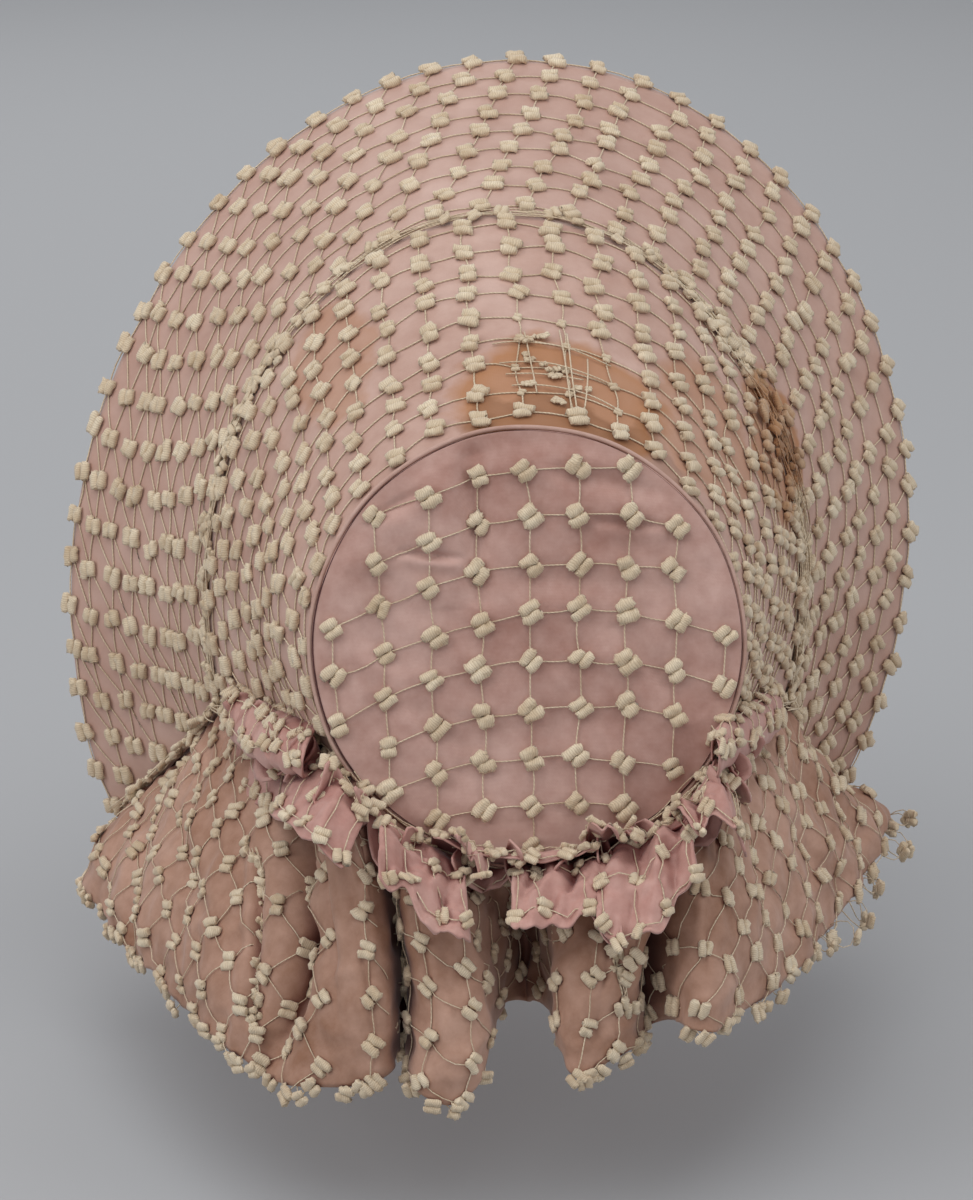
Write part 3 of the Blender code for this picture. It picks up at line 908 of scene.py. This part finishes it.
CURTAIN_MAP = curtain_silk(CURTAIN_U[:, None], CURTAIN_V)
LEVEL_RUN = np.concatenate([[0], np.cumsum(steps_along(CURTAIN_MAP[:, LEVEL_COLUMN], 0))])
DOWN_RUN = np.hstack([np.zeros((len(CURTAIN_U), 1)),
                      np.cumsum(steps_along(CURTAIN_MAP, 1), axis=1)])
FALL = DOWN_RUN[:, HEM_COLUMN]
print("curtain width at 0.7 of its depth, mm:", round(LEVEL_RUN[-1] / MM))


def curtain_spot(width_run, down_run):
    """Share and down of a spot so far along the curtain and so far below its seam.

    The third value is how far the hem lies below the seam there.
    """
    share = np.interp(width_run, LEVEL_RUN, CURTAIN_U)
    k = np.clip(np.searchsorted(LEVEL_RUN, width_run), 0, len(CURTAIN_U) - 1)
    down = np.interp(down_run, DOWN_RUN[k], CURTAIN_V)
    return share, down, FALL[k]


def outward_curtain(points):
    axis = np.array([0, 0, -60 * MM])
    return (points - axis) * np.array([1, 1.2, 0.2])


curtain_net = Net("net_on_curtain", 6)
# Stretches of the net: from and to as shares of the width, turn in degrees, shift in mm.
PANELS = (
    (0.0, 0.300, 45, (0, 0)),
    (0.300, 0.455, 4, (4, 0)),
    (0.455, 0.585, -3, (2, 5)),
    (0.585, 0.665, 5, (6, 3)),
    (0.665, 1.0, 42, (3, 2)),
)
for begin, end, bias, shift in PANELS:
    turn = radians(bias)
    nodes = {}
    for i in range(-60, 90):
        for j in range(-60, 60):
            run = i * NET_PITCH * cos(turn) - j * NET_PITCH * sin(turn) + shift[0] * MM
            fall = i * NET_PITCH * sin(turn) + j * NET_PITCH * cos(turn) + shift[1] * MM
            run += curtain_net.rng.normal(0, 0.8 * MM)
            fall += curtain_net.rng.normal(0, 0.8 * MM)
            if not begin * LEVEL_RUN[-1] <= run < end * LEVEL_RUN[-1] or fall < 2 * MM:
                continue
            share, down, depth = curtain_spot(run, fall)
            if fall < depth + 4 * MM and abs(share) < 0.985 and down < 1.09:
                nodes[i, j] = (float(share), float(down))
    for (i, j), (share, down) in nodes.items():
        point = curtain_silk(share, down)
        normal = normal_at(curtain_silk, share, down,
                           outward_curtain(point))
        down_way = curtain_silk(share, down + 0.01) - point
        bar = np.cross(normal, down_way) if share > 0.2 else down_way
        if 0.2 < share < 0.42 or -0.2 < share < 0.2:
            bar = np.cross(normal, down_way) + 0.9 * down_way
        curtain_net.tuft(point, normal, bar, size=0.86, open_slit=1.10)
        for other in neighbours(nodes, i, j):
            lay_thread(curtain_net, curtain_silk, (share, down), other, outward_curtain,
                       lift=0.5 * MM, sag=0.9 * MM, radius=0.21 * MM)
# Places on the hem where the net hangs over it in loops. At the right end some are long.
HEM_LOOPS = np.concatenate([np.linspace(0.95, 0.28, 24), np.linspace(0.20, 0.09, 5),
                            np.linspace(-0.10, -0.22, 6), np.linspace(-0.30, -0.96, 24)])
for share in HEM_LOOPS + curtain_net.rng.normal(0, 0.006, len(HEM_LOOPS)):
    wide = curtain_net.rng.uniform(0.006, 0.016)
    deep = curtain_net.rng.uniform(0.005, 0.05) * (3 if share < -0.62 else 1)
    t = np.linspace(-1, 1, 9)
    loop = curtain_silk(np.clip(share + wide * t, -0.99, 0.99), 0.985 + deep * np.cos(t * pi / 2))
    if share < -0.55:
        loose = 11 * MM * curtain_net.rng.uniform(0, 1) ** 2.5
        loop = loop - loose * spread(np.cos(t * pi / 2), 0, 0.4 * np.sin(t * pi))
    curtain_net.thread(loop, 0.21 * MM)
    curtain_net.tuft(loop[4], outward_curtain(loop[4]), curtain_net.rng.normal(size=3), size=0.80)
net_on_curtain = curtain_net.build()

# %% Heading net
HEADING_PITCH = 13 * MM
heading_net = Net("net_on_heading", 8)


def outward_up(points):
    return np.broadcast_to(np.array([0, 0.6, 1.0]), points.shape)


for along in np.linspace(0.02, 0.98, 34):
    down = heading_net.rng.uniform(0.35, 1.0)
    point = ruffle_silk(along, down)
    heading_net.tuft(point + np.array([0, 0.5, 0.5]) * MM, np.array([0, 0.8, 0.6]),
                     heading_net.rng.normal(size=3), size=0.78)
    lay_thread(heading_net, ruffle_silk, (along, down), (min(along + 0.021, 1), 0.7), outward_up,
               steps=7, lift=0.6 * MM, sag=1.0 * MM)
for name in HEADING_PLEATS:
    def place(across, down, name=name):
        return pleat_silk(name, across, down)
    width = abs(HEADING_PLEATS[name][0] - HEADING_PLEATS[name][1]) / 2 * NECK_RUN[-1]
    columns = max(1, round(width / HEADING_PITCH))
    rows = 3 if name in ROLLED or np.hypot(*HEADING_PLEATS[name][3][:2]) > 1.1 else 2
    nodes = {}
    for i in range(columns + 1):
        for j in range(rows):
            across = (i + heading_net.rng.normal(0, 0.13)) / columns
            down = (j + 0.45 + heading_net.rng.normal(0, 0.10)) / (rows - 0.35)
            if name in ROLLED:
                down = 0.16 + 0.19 * j + heading_net.rng.normal(0, 0.02)
            nodes[i, j] = (np.clip(across, 0.04, 0.96), np.clip(down, 0.1, 0.99))
    for (i, j), (across, down) in nodes.items():
        point = place(across, down)
        normal = normal_at(place, across, down, outward_up(point))
        bar = heading_net.rng.normal(size=3)
        heading_net.tuft(point, normal, bar, size=0.82)
        for other in neighbours(nodes, i, j):
            lay_thread(heading_net, place, (across, down), other, outward_up, steps=5,
                       sag=1.5 * MM)
net_on_heading = heading_net.build()

# %% [markdown]
# ### Gathered net along the seams
# Where the net is drawn in at the brim seam and along the neck, its threads lie close
# together like a rope with tufts pressed into it. We lay a handful of wavy strands beside
# each other along the seam and press small tufts in between.

# %% Gathers
seam_net = Net("net_gathers", 9)


def rope(path, out, strands, width, tuft_step, size, thread_radius):
    """Strands that wander about a path, with tufts squeezed between them."""
    rng = seam_net.rng
    path = np.asarray(path)
    run = np.concatenate([[0], np.cumsum(np.linalg.norm(np.diff(path, axis=0), axis=1))])
    along = unit(np.gradient(path, axis=0))
    beside = unit(np.cross(out, along))
    for strand in range(strands):
        waves = rng.uniform(0.7, 1.6, 3) * np.array([35, 80, 160])
        phase = rng.uniform(0, 2 * pi, 6)
        swing = sum(np.sin(run * w + p) / k for w, p, k in zip(waves, phase[:3], (1, 1.6, 3)))
        lift = sum(np.sin(run * w + p) / k for w, p, k in zip(waves, phase[3:], (1, 1.6, 3)))
        centre = rng.uniform(-0.7, 0.7)
        points = (path + beside * (width * (centre + 0.5 * swing))[:, None]
                  + out * (0.9 * MM + width * 0.22 * (1 + 0.6 * lift))[:, None])
        seam_net.thread(points, thread_radius)
    for place in np.arange(tuft_step / 2, run[-1], tuft_step):
        place += rng.normal(0, tuft_step * 0.3)
        k = int(np.clip(np.searchsorted(run, place), 0, len(path) - 1))
        point = path[k] + beside[k] * rng.normal(0, 0.6 * width)
        point = point + out[k] * rng.uniform(0.2, 1.6) * MM
        bar = along[k] * rng.normal(0.6, 0.5) + beside[k] * rng.normal(0.3, 0.6)
        normal = out[k] + 0.3 * rng.normal(size=3)
        seam_net.tuft(point, normal, bar, size=size * rng.uniform(0.8, 1.1))


def rope_between(places, path, out, low, high, *rope_sizes):
    """A rope on the stretch of a path whose places lie between low and high."""
    part = (places > low) & (places < high)
    rope(path[part], out[part], *rope_sizes)


STRAND_RADIUS = 0.24 * MM
seam_turns = np.linspace(0.985, -0.985, 321)
seam_path = 0.5 * (crown_silk(seam_turns, 1.0) + brim_silk(seam_turns, 0.0))
seam_out = unit(outward_band(seam_path) + np.array([0, 0.03, 0]))
rope(seam_path, seam_out, 6, 2.2 * MM, 13 * MM, 0.72, STRAND_RADIUS)
for low, high, width, step, size in ((0.45, 0.985, 4.2 * MM, 5.5 * MM, 0.75),
                                     (-0.985, -0.30, 4.2 * MM, 5.5 * MM, 0.75),
                                     (-0.95, -0.42, 8.5 * MM, 5.0 * MM, 0.90)):
    rope_between(seam_turns, seam_path, seam_out, low, high, 6, width, step, size, STRAND_RADIUS)
neck_shares = np.linspace(0.98, -0.98, 321)
neck_path = neck_at(neck_shares) + np.array([0, 0, 2.2 * MM])
neck_out = unit((neck_path - TIP_CENTRE) * np.array([1, 1, 0]) + np.array([0, 0.05, 0.10]))
rope(neck_path, neck_out, 5, 2.4 * MM, 9 * MM, 0.75, STRAND_RADIUS)
for low, high in ((0.62, 0.98), (-0.98, -0.62)):
    rope_between(neck_shares, neck_path, neck_out, low, high, 8, 7.0 * MM, 3.8 * MM, 0.82,
                 0.26 * MM)
# Slits of the curtain where the net is bunched: from and to as share and down, width in mm.
SLITS = (((0.485, 0.34), (0.462, 0.88), 3.0), ((0.195, 0.40), (0.195, 0.95), 2.6),
         ((-0.140, 0.40), (-0.180, 0.80), 2.2))
for start, end, width in SLITS:
    t = np.linspace(0, 1, 40)
    path = curtain_silk(mix(start[0], end[0], t), mix(start[1], end[1], t))
    rope(path, unit(outward_curtain(path)), 5, width * MM, 6.0 * MM, 0.80, 0.22 * MM)
net_gathers = seam_net.build()

# %% [markdown]
# ## Finishes
# Silk, piping and yarn share a few effects, so those are node groups: a woven bump, a
# slow colour cloud and a water stain with a dark rim. The shaders stay in the materials.

# %% Node helpers
def new_group(name, inputs, outputs):
    """An empty node group. Sockets are name: (type, default)."""
    group = bpy.data.node_groups.new(name, "ShaderNodeTree")
    for label, (kind, default) in inputs.items():
        socket = group.interface.new_socket(label, in_out="INPUT", socket_type="NodeSocket" + kind)
        socket.default_value = default
    for label, kind in outputs.items():
        group.interface.new_socket(label, in_out="OUTPUT", socket_type="NodeSocket" + kind)
    return group, group.nodes.new("NodeGroupInput"), group.nodes.new("NodeGroupOutput")


def wire(tree, made, links):
    """Links or sets a node's inputs, by name or number, and gives the node back."""
    for key, value in links.items():
        if isinstance(value, bpy.types.NodeSocket):
            tree.links.new(value, made.inputs[key])
        else:
            made.inputs[key].default_value = value
    return made


def node(tree, kind, links=None, **settings):
    """A node with its settings and its inputs."""
    made = tree.nodes.new("ShaderNode" + kind)
    for key, value in settings.items():
        setattr(made, key, value)
    return wire(tree, made, links or {})


def use_group(tree, group, links):
    made = tree.nodes.new("ShaderNodeGroup")
    made.node_tree = group
    return wire(tree, made, links)


def calculate(tree, operation, *values, kind="Math"):
    """The result of a Math or VectorMath node on up to three values."""
    made = node(tree, kind, dict(enumerate(values)), operation=operation)
    return made.outputs["Value" if kind == "Math" or operation == "LENGTH" else "Vector"]


def fade(tree, value, start, end, **more):
    """A value brought from the range start to end into 0 to 1."""
    return node(tree, "MapRange", {"Value": value, "From Min": start, "From Max": end,
                                   **more}).outputs["Result"]


def blend_colours(tree, share, low, high):
    """The colour between low and high."""
    return node(tree, "Mix", {"Factor": share, "A": low, "B": high},
                data_type="RGBA").outputs["Result"]


# %% Weave group
weave, weave_in, weave_out = new_group("silk_weave", {"Threads per metre": ("Float", 7500.0)},
                                       {"Height": "Float"})
place = node(weave, "TexCoord").outputs["Object"]
turned = node(weave, "VectorRotate", {"Vector": place, "Angle": 0.35}, rotation_type="X_AXIS")
scaled = calculate(weave, "MULTIPLY", turned.outputs[0], weave_in.outputs[0], kind="VectorMath")
axes = node(weave, "SeparateXYZ", {0: scaled}).outputs
wave_x, wave_y, wave_z = (calculate(weave, "SINE", axes[axis]) for axis in "XYZ")
woven = calculate(weave, "ADD", calculate(weave, "MULTIPLY", wave_x, wave_z), wave_y)
slub = node(weave, "TexNoise", {"Vector": place, "Scale": 700.0, "Detail": 3.0}).outputs["Fac"]
weave.links.new(calculate(weave, "MULTIPLY_ADD", slub, 0.6, woven), weave_out.inputs["Height"])

# %% Colour cloud group
cloud, cloud_in, cloud_out = new_group(
    "silk_cloud", {"Light": ("Color", (1, 1, 1, 1)), "Deep": ("Color", (0, 0, 0, 1)),
                   "Size": ("Float", 14.0)}, {"Color": "Color"})
place = node(cloud, "TexCoord").outputs["Object"]
size = cloud_in.outputs["Size"]
soft = node(cloud, "TexNoise", {"Vector": place, "Scale": size, "Detail": 5.0,
                                "Roughness": 0.55}).outputs["Fac"]
fine = node(cloud, "TexNoise", {"Vector": place, "Scale": calculate(cloud, "MULTIPLY", size, 7.0),
                                "Detail": 6.0, "Roughness": 0.65}).outputs["Fac"]
both = node(cloud, "Mix", {"Factor": 0.38, "A": soft, "B": fine}).outputs["Result"]
cloud.links.new(blend_colours(cloud, fade(cloud, both, 0.36, 0.64), cloud_in.outputs["Deep"],
                              cloud_in.outputs["Light"]), cloud_out.inputs["Color"])

# %% Stain group
# The stain is an ellipsoid in space whose edge a noise makes ragged. Its rim is darker.
RAGGED_EDGE = 35 * MM
RIM_SHARE, BODY_SHARE = 0.22, 0.78
stain, stain_in, stain_out = new_group(
    "water_stain", {"Color": ("Color", (1, 1, 1, 1)), "Stain": ("Color", (0.5, 0.25, 0.1, 1)),
                    "Middle": ("Vector", (0, 0, 0)), "Reach": ("Vector", (0.03, 0.03, 0.03)),
                    "Strength": ("Float", 0.8)}, {"Color": "Color"})


def stain_vector(operation, *values):
    return calculate(stain, operation, *values, kind="VectorMath")


place = node(stain, "TexCoord").outputs["Object"]
ragged = node(stain, "TexNoise", {"Vector": place, "Scale": 45.0, "Detail": 4.0}).outputs["Color"]
warped = stain_vector("MULTIPLY_ADD", stain_vector("SUBTRACT", ragged, (0.5, 0.5, 0.5)),
                      (RAGGED_EDGE, RAGGED_EDGE, RAGGED_EDGE), place)
offset = stain_vector("SUBTRACT", warped, stain_in.outputs["Middle"])
far = stain_vector("LENGTH", stain_vector("DIVIDE", offset, stain_in.outputs["Reach"]))
body = fade(stain, far, 1.0, 0.80)
rim = calculate(stain, "MULTIPLY", fade(stain, far, 0.60, 0.92), body)
mask = calculate(stain, "MULTIPLY_ADD", rim, RIM_SHARE,
                 calculate(stain, "MULTIPLY", body, BODY_SHARE))
amount = calculate(stain, "MULTIPLY", mask, stain_in.outputs["Strength"])
stain.links.new(blend_colours(stain, amount, stain_in.outputs["Color"],
                              stain_in.outputs["Stain"]), stain_out.inputs["Color"])

# %% Stains and colours
# Each stain: its middle and its reach along X, Y and Z in metres, its tint and strength.
RUST = (0.40, 0.165, 0.050)
BROWN = (0.20, 0.075, 0.020)
CROWN_STAINS = (
    ((-0.020, 0.044, -0.016), (0.050, 0.044, 0.030), RUST, 0.90),
    ((-0.008, 0.052, -0.020), (0.036, 0.017, 0.026), BROWN, 0.60),
    ((-0.040, 0.056, -0.036), (0.026, 0.016, 0.026), BROWN, 0.50),
    ((-0.068, 0.015, -0.040), (0.026, 0.040, 0.040), RUST, 0.55),
    ((-0.098, -0.030, -0.062), (0.016, 0.030, 0.036), RUST, 0.85),
    ((0.068, -0.016, -0.020), (0.022, 0.034, 0.024), RUST, 0.45),
)
BRIM_STAINS = (
    ((-0.103, -0.050, -0.064), (0.016, 0.020, 0.040), RUST, 0.95),
    ((-0.107, -0.046, -0.078), (0.008, 0.010, 0.030), BROWN, 0.80),
)
YARN_STAINS = CROWN_STAINS[4:5] + BRIM_STAINS
PALE_PINK, DEEP_PINK = (0.580, 0.390, 0.325), (0.445, 0.262, 0.205)
# Each silk: its light and deep colour, clouds per metre, roughness and sheen.
SILKS = {
    "tip_silk": ((0.600, 0.390, 0.335), (0.400, 0.208, 0.165), 16.0, 0.58, 0.30),
    "crown_silk": (PALE_PINK, DEEP_PINK, 14.0, 0.60, 0.30),
    "brim_silk": (PALE_PINK, DEEP_PINK, 9.0, 0.60, 0.30),
    "curtain_silk": ((0.520, 0.315, 0.235), (0.280, 0.135, 0.078), 16.0, 0.62, 0.20),
    "heading_silk": ((0.580, 0.350, 0.300), (0.430, 0.205, 0.170), 24.0, 0.58, 0.25),
    "piping_silk": (PALE_PINK, DEEP_PINK, 30.0, 0.60, 0.10),
    "seam_shade": ((0.10, 0.030, 0.030), (0.05, 0.018, 0.018), 60.0, 0.80, 0.0),
}
# Colours of the painted shade that darkens curtain and heading in their folds, and how far it
# reaches.
CURTAIN_FOLD_SHADE, HEADING_FOLD_SHADE = (0.155, 0.050, 0.038), (0.20, 0.040, 0.035)
FOLD_REACH = 12 * MM
# The last yarn colour is painted shade for the grooves between the windings.
YARN_LIGHT, YARN_DEEP, YARN_GAP_SHADE = (0.81, 0.69, 0.51), (0.57, 0.43, 0.28), (0.34, 0.22, 0.12)


# %% Materials
def new_material(name):
    """A material, its node tree and its shader."""
    material = bpy.data.materials.new(name)
    material.use_nodes = True
    return material, material.node_tree, material.node_tree.nodes["Principled BSDF"]


def stained(tree, colour, stains, share=1.0):
    """A colour with water stains laid over it, one after the other."""
    for middle, reach, tint, strength in stains:
        colour = use_group(tree, stain, {"Color": colour, "Stain": (*tint, 1), "Middle": middle,
                                         "Reach": reach, "Strength": share * strength}
                           ).outputs["Color"]
    return colour


def silk_material(name, stains=(), fold_shade=None):
    """Silk: cloudy colour, its water stains, painted shade in its folds, a woven bump and a soft
    sheen.
    """
    light, deep, clouds, roughness, sheen = SILKS[name]
    material, tree, shader = new_material(name)
    clouded = use_group(tree, cloud, {"Light": (*light, 1), "Deep": (*deep, 1), "Size": clouds})
    shown = stained(tree, clouded.outputs["Color"], stains)
    if fold_shade:
        # Painted shade: ambient occlusion darkens the colour toward fold_shade in folds and
        # hollows.
        hollow = node(tree, "AmbientOcclusion", {"Distance": FOLD_REACH}, samples=8).outputs["AO"]
        shown = blend_colours(tree, fade(tree, hollow, 0.10, 0.65), (*fold_shade, 1), shown)
    bump = node(tree, "Bump", {"Height": use_group(tree, weave, {}).outputs["Height"],
                               "Strength": 0.10, "Distance": 0.06 * MM})
    wire(tree, shader, {"Base Color": shown, "Normal": bump.outputs["Normal"],
                        "Roughness": roughness, "Sheen Weight": sheen, "Sheen Roughness": 0.45,
                        "Sheen Tint": (1.0, 0.88, 0.86, 1), "Specular IOR Level": 0.35})
    return material


def yarn_material():
    """Cream yarn: painted shade between its windings, browner in patches and where it is stained.
    """
    material, tree, shader = new_material("cream_yarn")
    clouded = use_group(tree, cloud, {"Light": (*YARN_LIGHT, 1), "Deep": (*YARN_DEEP, 1),
                                      "Size": 60.0})
    colour = stained(tree, clouded.outputs["Color"], YARN_STAINS, 0.85)
    wound = node(tree, "Attribute", attribute_name="wound").outputs["Fac"]
    wave = calculate(tree, "SINE", calculate(tree, "MULTIPLY", wound, 2 * pi))
    # Painted shade: the yarn turns brown in the grooves between the windings of the tufts and the
    # twists of the threads.
    winding_shade = fade(tree, wave, -1.0, 0.0, **{"To Min": 0.62})
    fibres = node(tree, "TexNoise", {"Vector": node(tree, "TexCoord").outputs["Object"],
                                     "Scale": 2200.0, "Detail": 2.0}).outputs["Fac"]
    bump = node(tree, "Bump", {"Height": calculate(tree, "MULTIPLY_ADD", wave, 0.6, fibres),
                               "Strength": 0.35, "Distance": 0.25 * MM})
    wire(tree, shader, {"Base Color": blend_colours(tree, winding_shade, (*YARN_GAP_SHADE, 1), colour),
                        "Normal": bump.outputs["Normal"], "Roughness": 0.8, "Sheen Weight": 0.2})
    return material


silk_tip = silk_material("tip_silk")
silk_crown = silk_material("crown_silk", CROWN_STAINS)
silk_brim = silk_material("brim_silk", BRIM_STAINS)
silk_curtain = silk_material("curtain_silk", fold_shade=CURTAIN_FOLD_SHADE)
silk_heading = silk_material("heading_silk", fold_shade=HEADING_FOLD_SHADE)
silk_piping = silk_material("piping_silk")
seam_shade_material = silk_material("seam_shade")
yarn = yarn_material()
print("silks:", len(SILKS), "stains:", len(CROWN_STAINS + BRIM_STAINS))

# %% [markdown]
# ## Which piece stands for what
# Every piece rides on the bonnet's one body and gets its material, and the imported part it
# stands for is hidden. Curtain and heading are loose cloth. The curtain's area is measured
# over its built folds and printed.

# %% Ride and replace
def finish_piece(obj, material, slot, *nodes):
    obj.data.materials.append(material)
    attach(obj, "root")
    if nodes:
        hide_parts(*nodes)


finish_piece(tip, silk_tip, "stiff_silk", "crown_tip")
finish_piece(crown, silk_crown, "stiff_silk", "crown_side")
finish_piece(brim, silk_brim, "stiff_silk", "brim")
finish_piece(curtain, silk_curtain, "soft_silk", "curtain")
finish_piece(piping, silk_piping, "piping_silk", "tip_piping")
# The dark line at the tip's rim is painted shade.
finish_piece(seam_shadow_line, seam_shade_material, "piping_silk")
for piece, name in zip(heading, HEADING_PLEATS):
    finish_piece(piece, silk_heading, "soft_silk", "heading_" + name)
finish_piece(ruffle, silk_heading, "soft_silk")
for piece in (net_on_tip, net_on_crown, net_on_brim, net_on_curtain, net_on_heading, net_gathers):
    finish_piece(piece, yarn, "soft_silk")


print("curtain, square metres:", round(sum(p.area for p in curtain.data.polygons), 4))

# %% [markdown]
# ## Floor, light and camera
# A pale floor, a large soft light above, and weaker ones left, right and in front. The
# bonnet hangs over the floor, because it is made without anything to carry it. The camera looks
# at the tip from behind and a little above, with a long lens.

# %% Floor
FLOOR_REACH, FLOOR_LEVEL = 40.0, -306 * MM
sides = [-FLOOR_REACH, FLOOR_REACH]
floor = grid_mesh("floor", spread(*np.meshgrid(sides, sides, indexing="ij"), FLOOR_LEVEL))
floor_paper, tree, shader = new_material("floor_paper")
wire(tree, shader, {"Base Color": (0.40, 0.405, 0.415, 1), "Roughness": 0.9})
floor.data.materials.append(floor_paper)

# %% Light
# Each light: its name, its place, its side in metres and its power in watts.
LIGHTS = (
    ("light_above", (0.35, 0.5, 1.9), 2.5, 28),
    ("light_left", (1.7, 0.9, 0.7), 1.0, 9.5),
    ("light_right", (-1.7, 0.8, 0.6), 1.0, 8),
    ("light_front", (0.2, -1.8, 0.9), 1.4, 8),
)
MIDDLE = Vector((0, -0.02, -0.1))
for name, place, size, power in LIGHTS:
    area_light = bpy.data.lights.new(name, "AREA")
    area_light.size = size
    area_light.energy = power
    light = put_in_scene(name, area_light)
    light.location = place
    light.rotation_mode = "QUATERNION"
    light.rotation_quaternion = (MIDDLE - Vector(place)).to_track_quat("-Z", "Y")
world = bpy.data.worlds.new("studio")
world.use_nodes = True
world.node_tree.nodes["Background"].inputs["Color"].default_value = (0.86, 0.88, 0.92, 1)
world.node_tree.nodes["Background"].inputs["Strength"].default_value = 0.45
bpy.context.scene.world = world
bpy.context.scene.view_settings.view_transform = "Standard"
print("lights:", len(LIGHTS))

# %% Camera
# The photo's size, and the pixel in it where the tip's middle is seen.
PHOTO_WIDTH, PHOTO_HEIGHT = 973, 1200
TIP_PIXEL_X, TIP_PIXEL_Y = 528, 645
FOCAL_PIXELS = 5094
CAMERA_AWAY = 1.8
lift, swing, roll = radians(18.9), radians(4.4), radians(0.6)
back = Vector((sin(swing) * cos(lift), cos(swing) * cos(lift), sin(lift)))
camera_data = bpy.data.cameras.new("camera")
camera = put_in_scene("camera", camera_data)
camera_data.sensor_width = 36
camera_data.lens = FOCAL_PIXELS / PHOTO_HEIGHT * camera_data.sensor_width
camera_data.shift_x = (PHOTO_WIDTH / 2 - TIP_PIXEL_X) / PHOTO_HEIGHT
camera_data.shift_y = (TIP_PIXEL_Y - PHOTO_HEIGHT / 2) / PHOTO_HEIGHT
camera.location = Vector(TIP_CENTRE) + back * CAMERA_AWAY
camera.rotation_mode = "QUATERNION"
look = (-back).to_track_quat("-Z", "Y").to_matrix()
right, up = look.col[0], look.col[1]
right, up = right * cos(roll) + up * sin(roll), up * cos(roll) - right * sin(roll)
look.col[0], look.col[1] = right, up
camera.rotation_quaternion = look.to_quaternion()
bpy.context.scene.camera = camera
print("camera lens, mm:", round(camera_data.lens, 1))
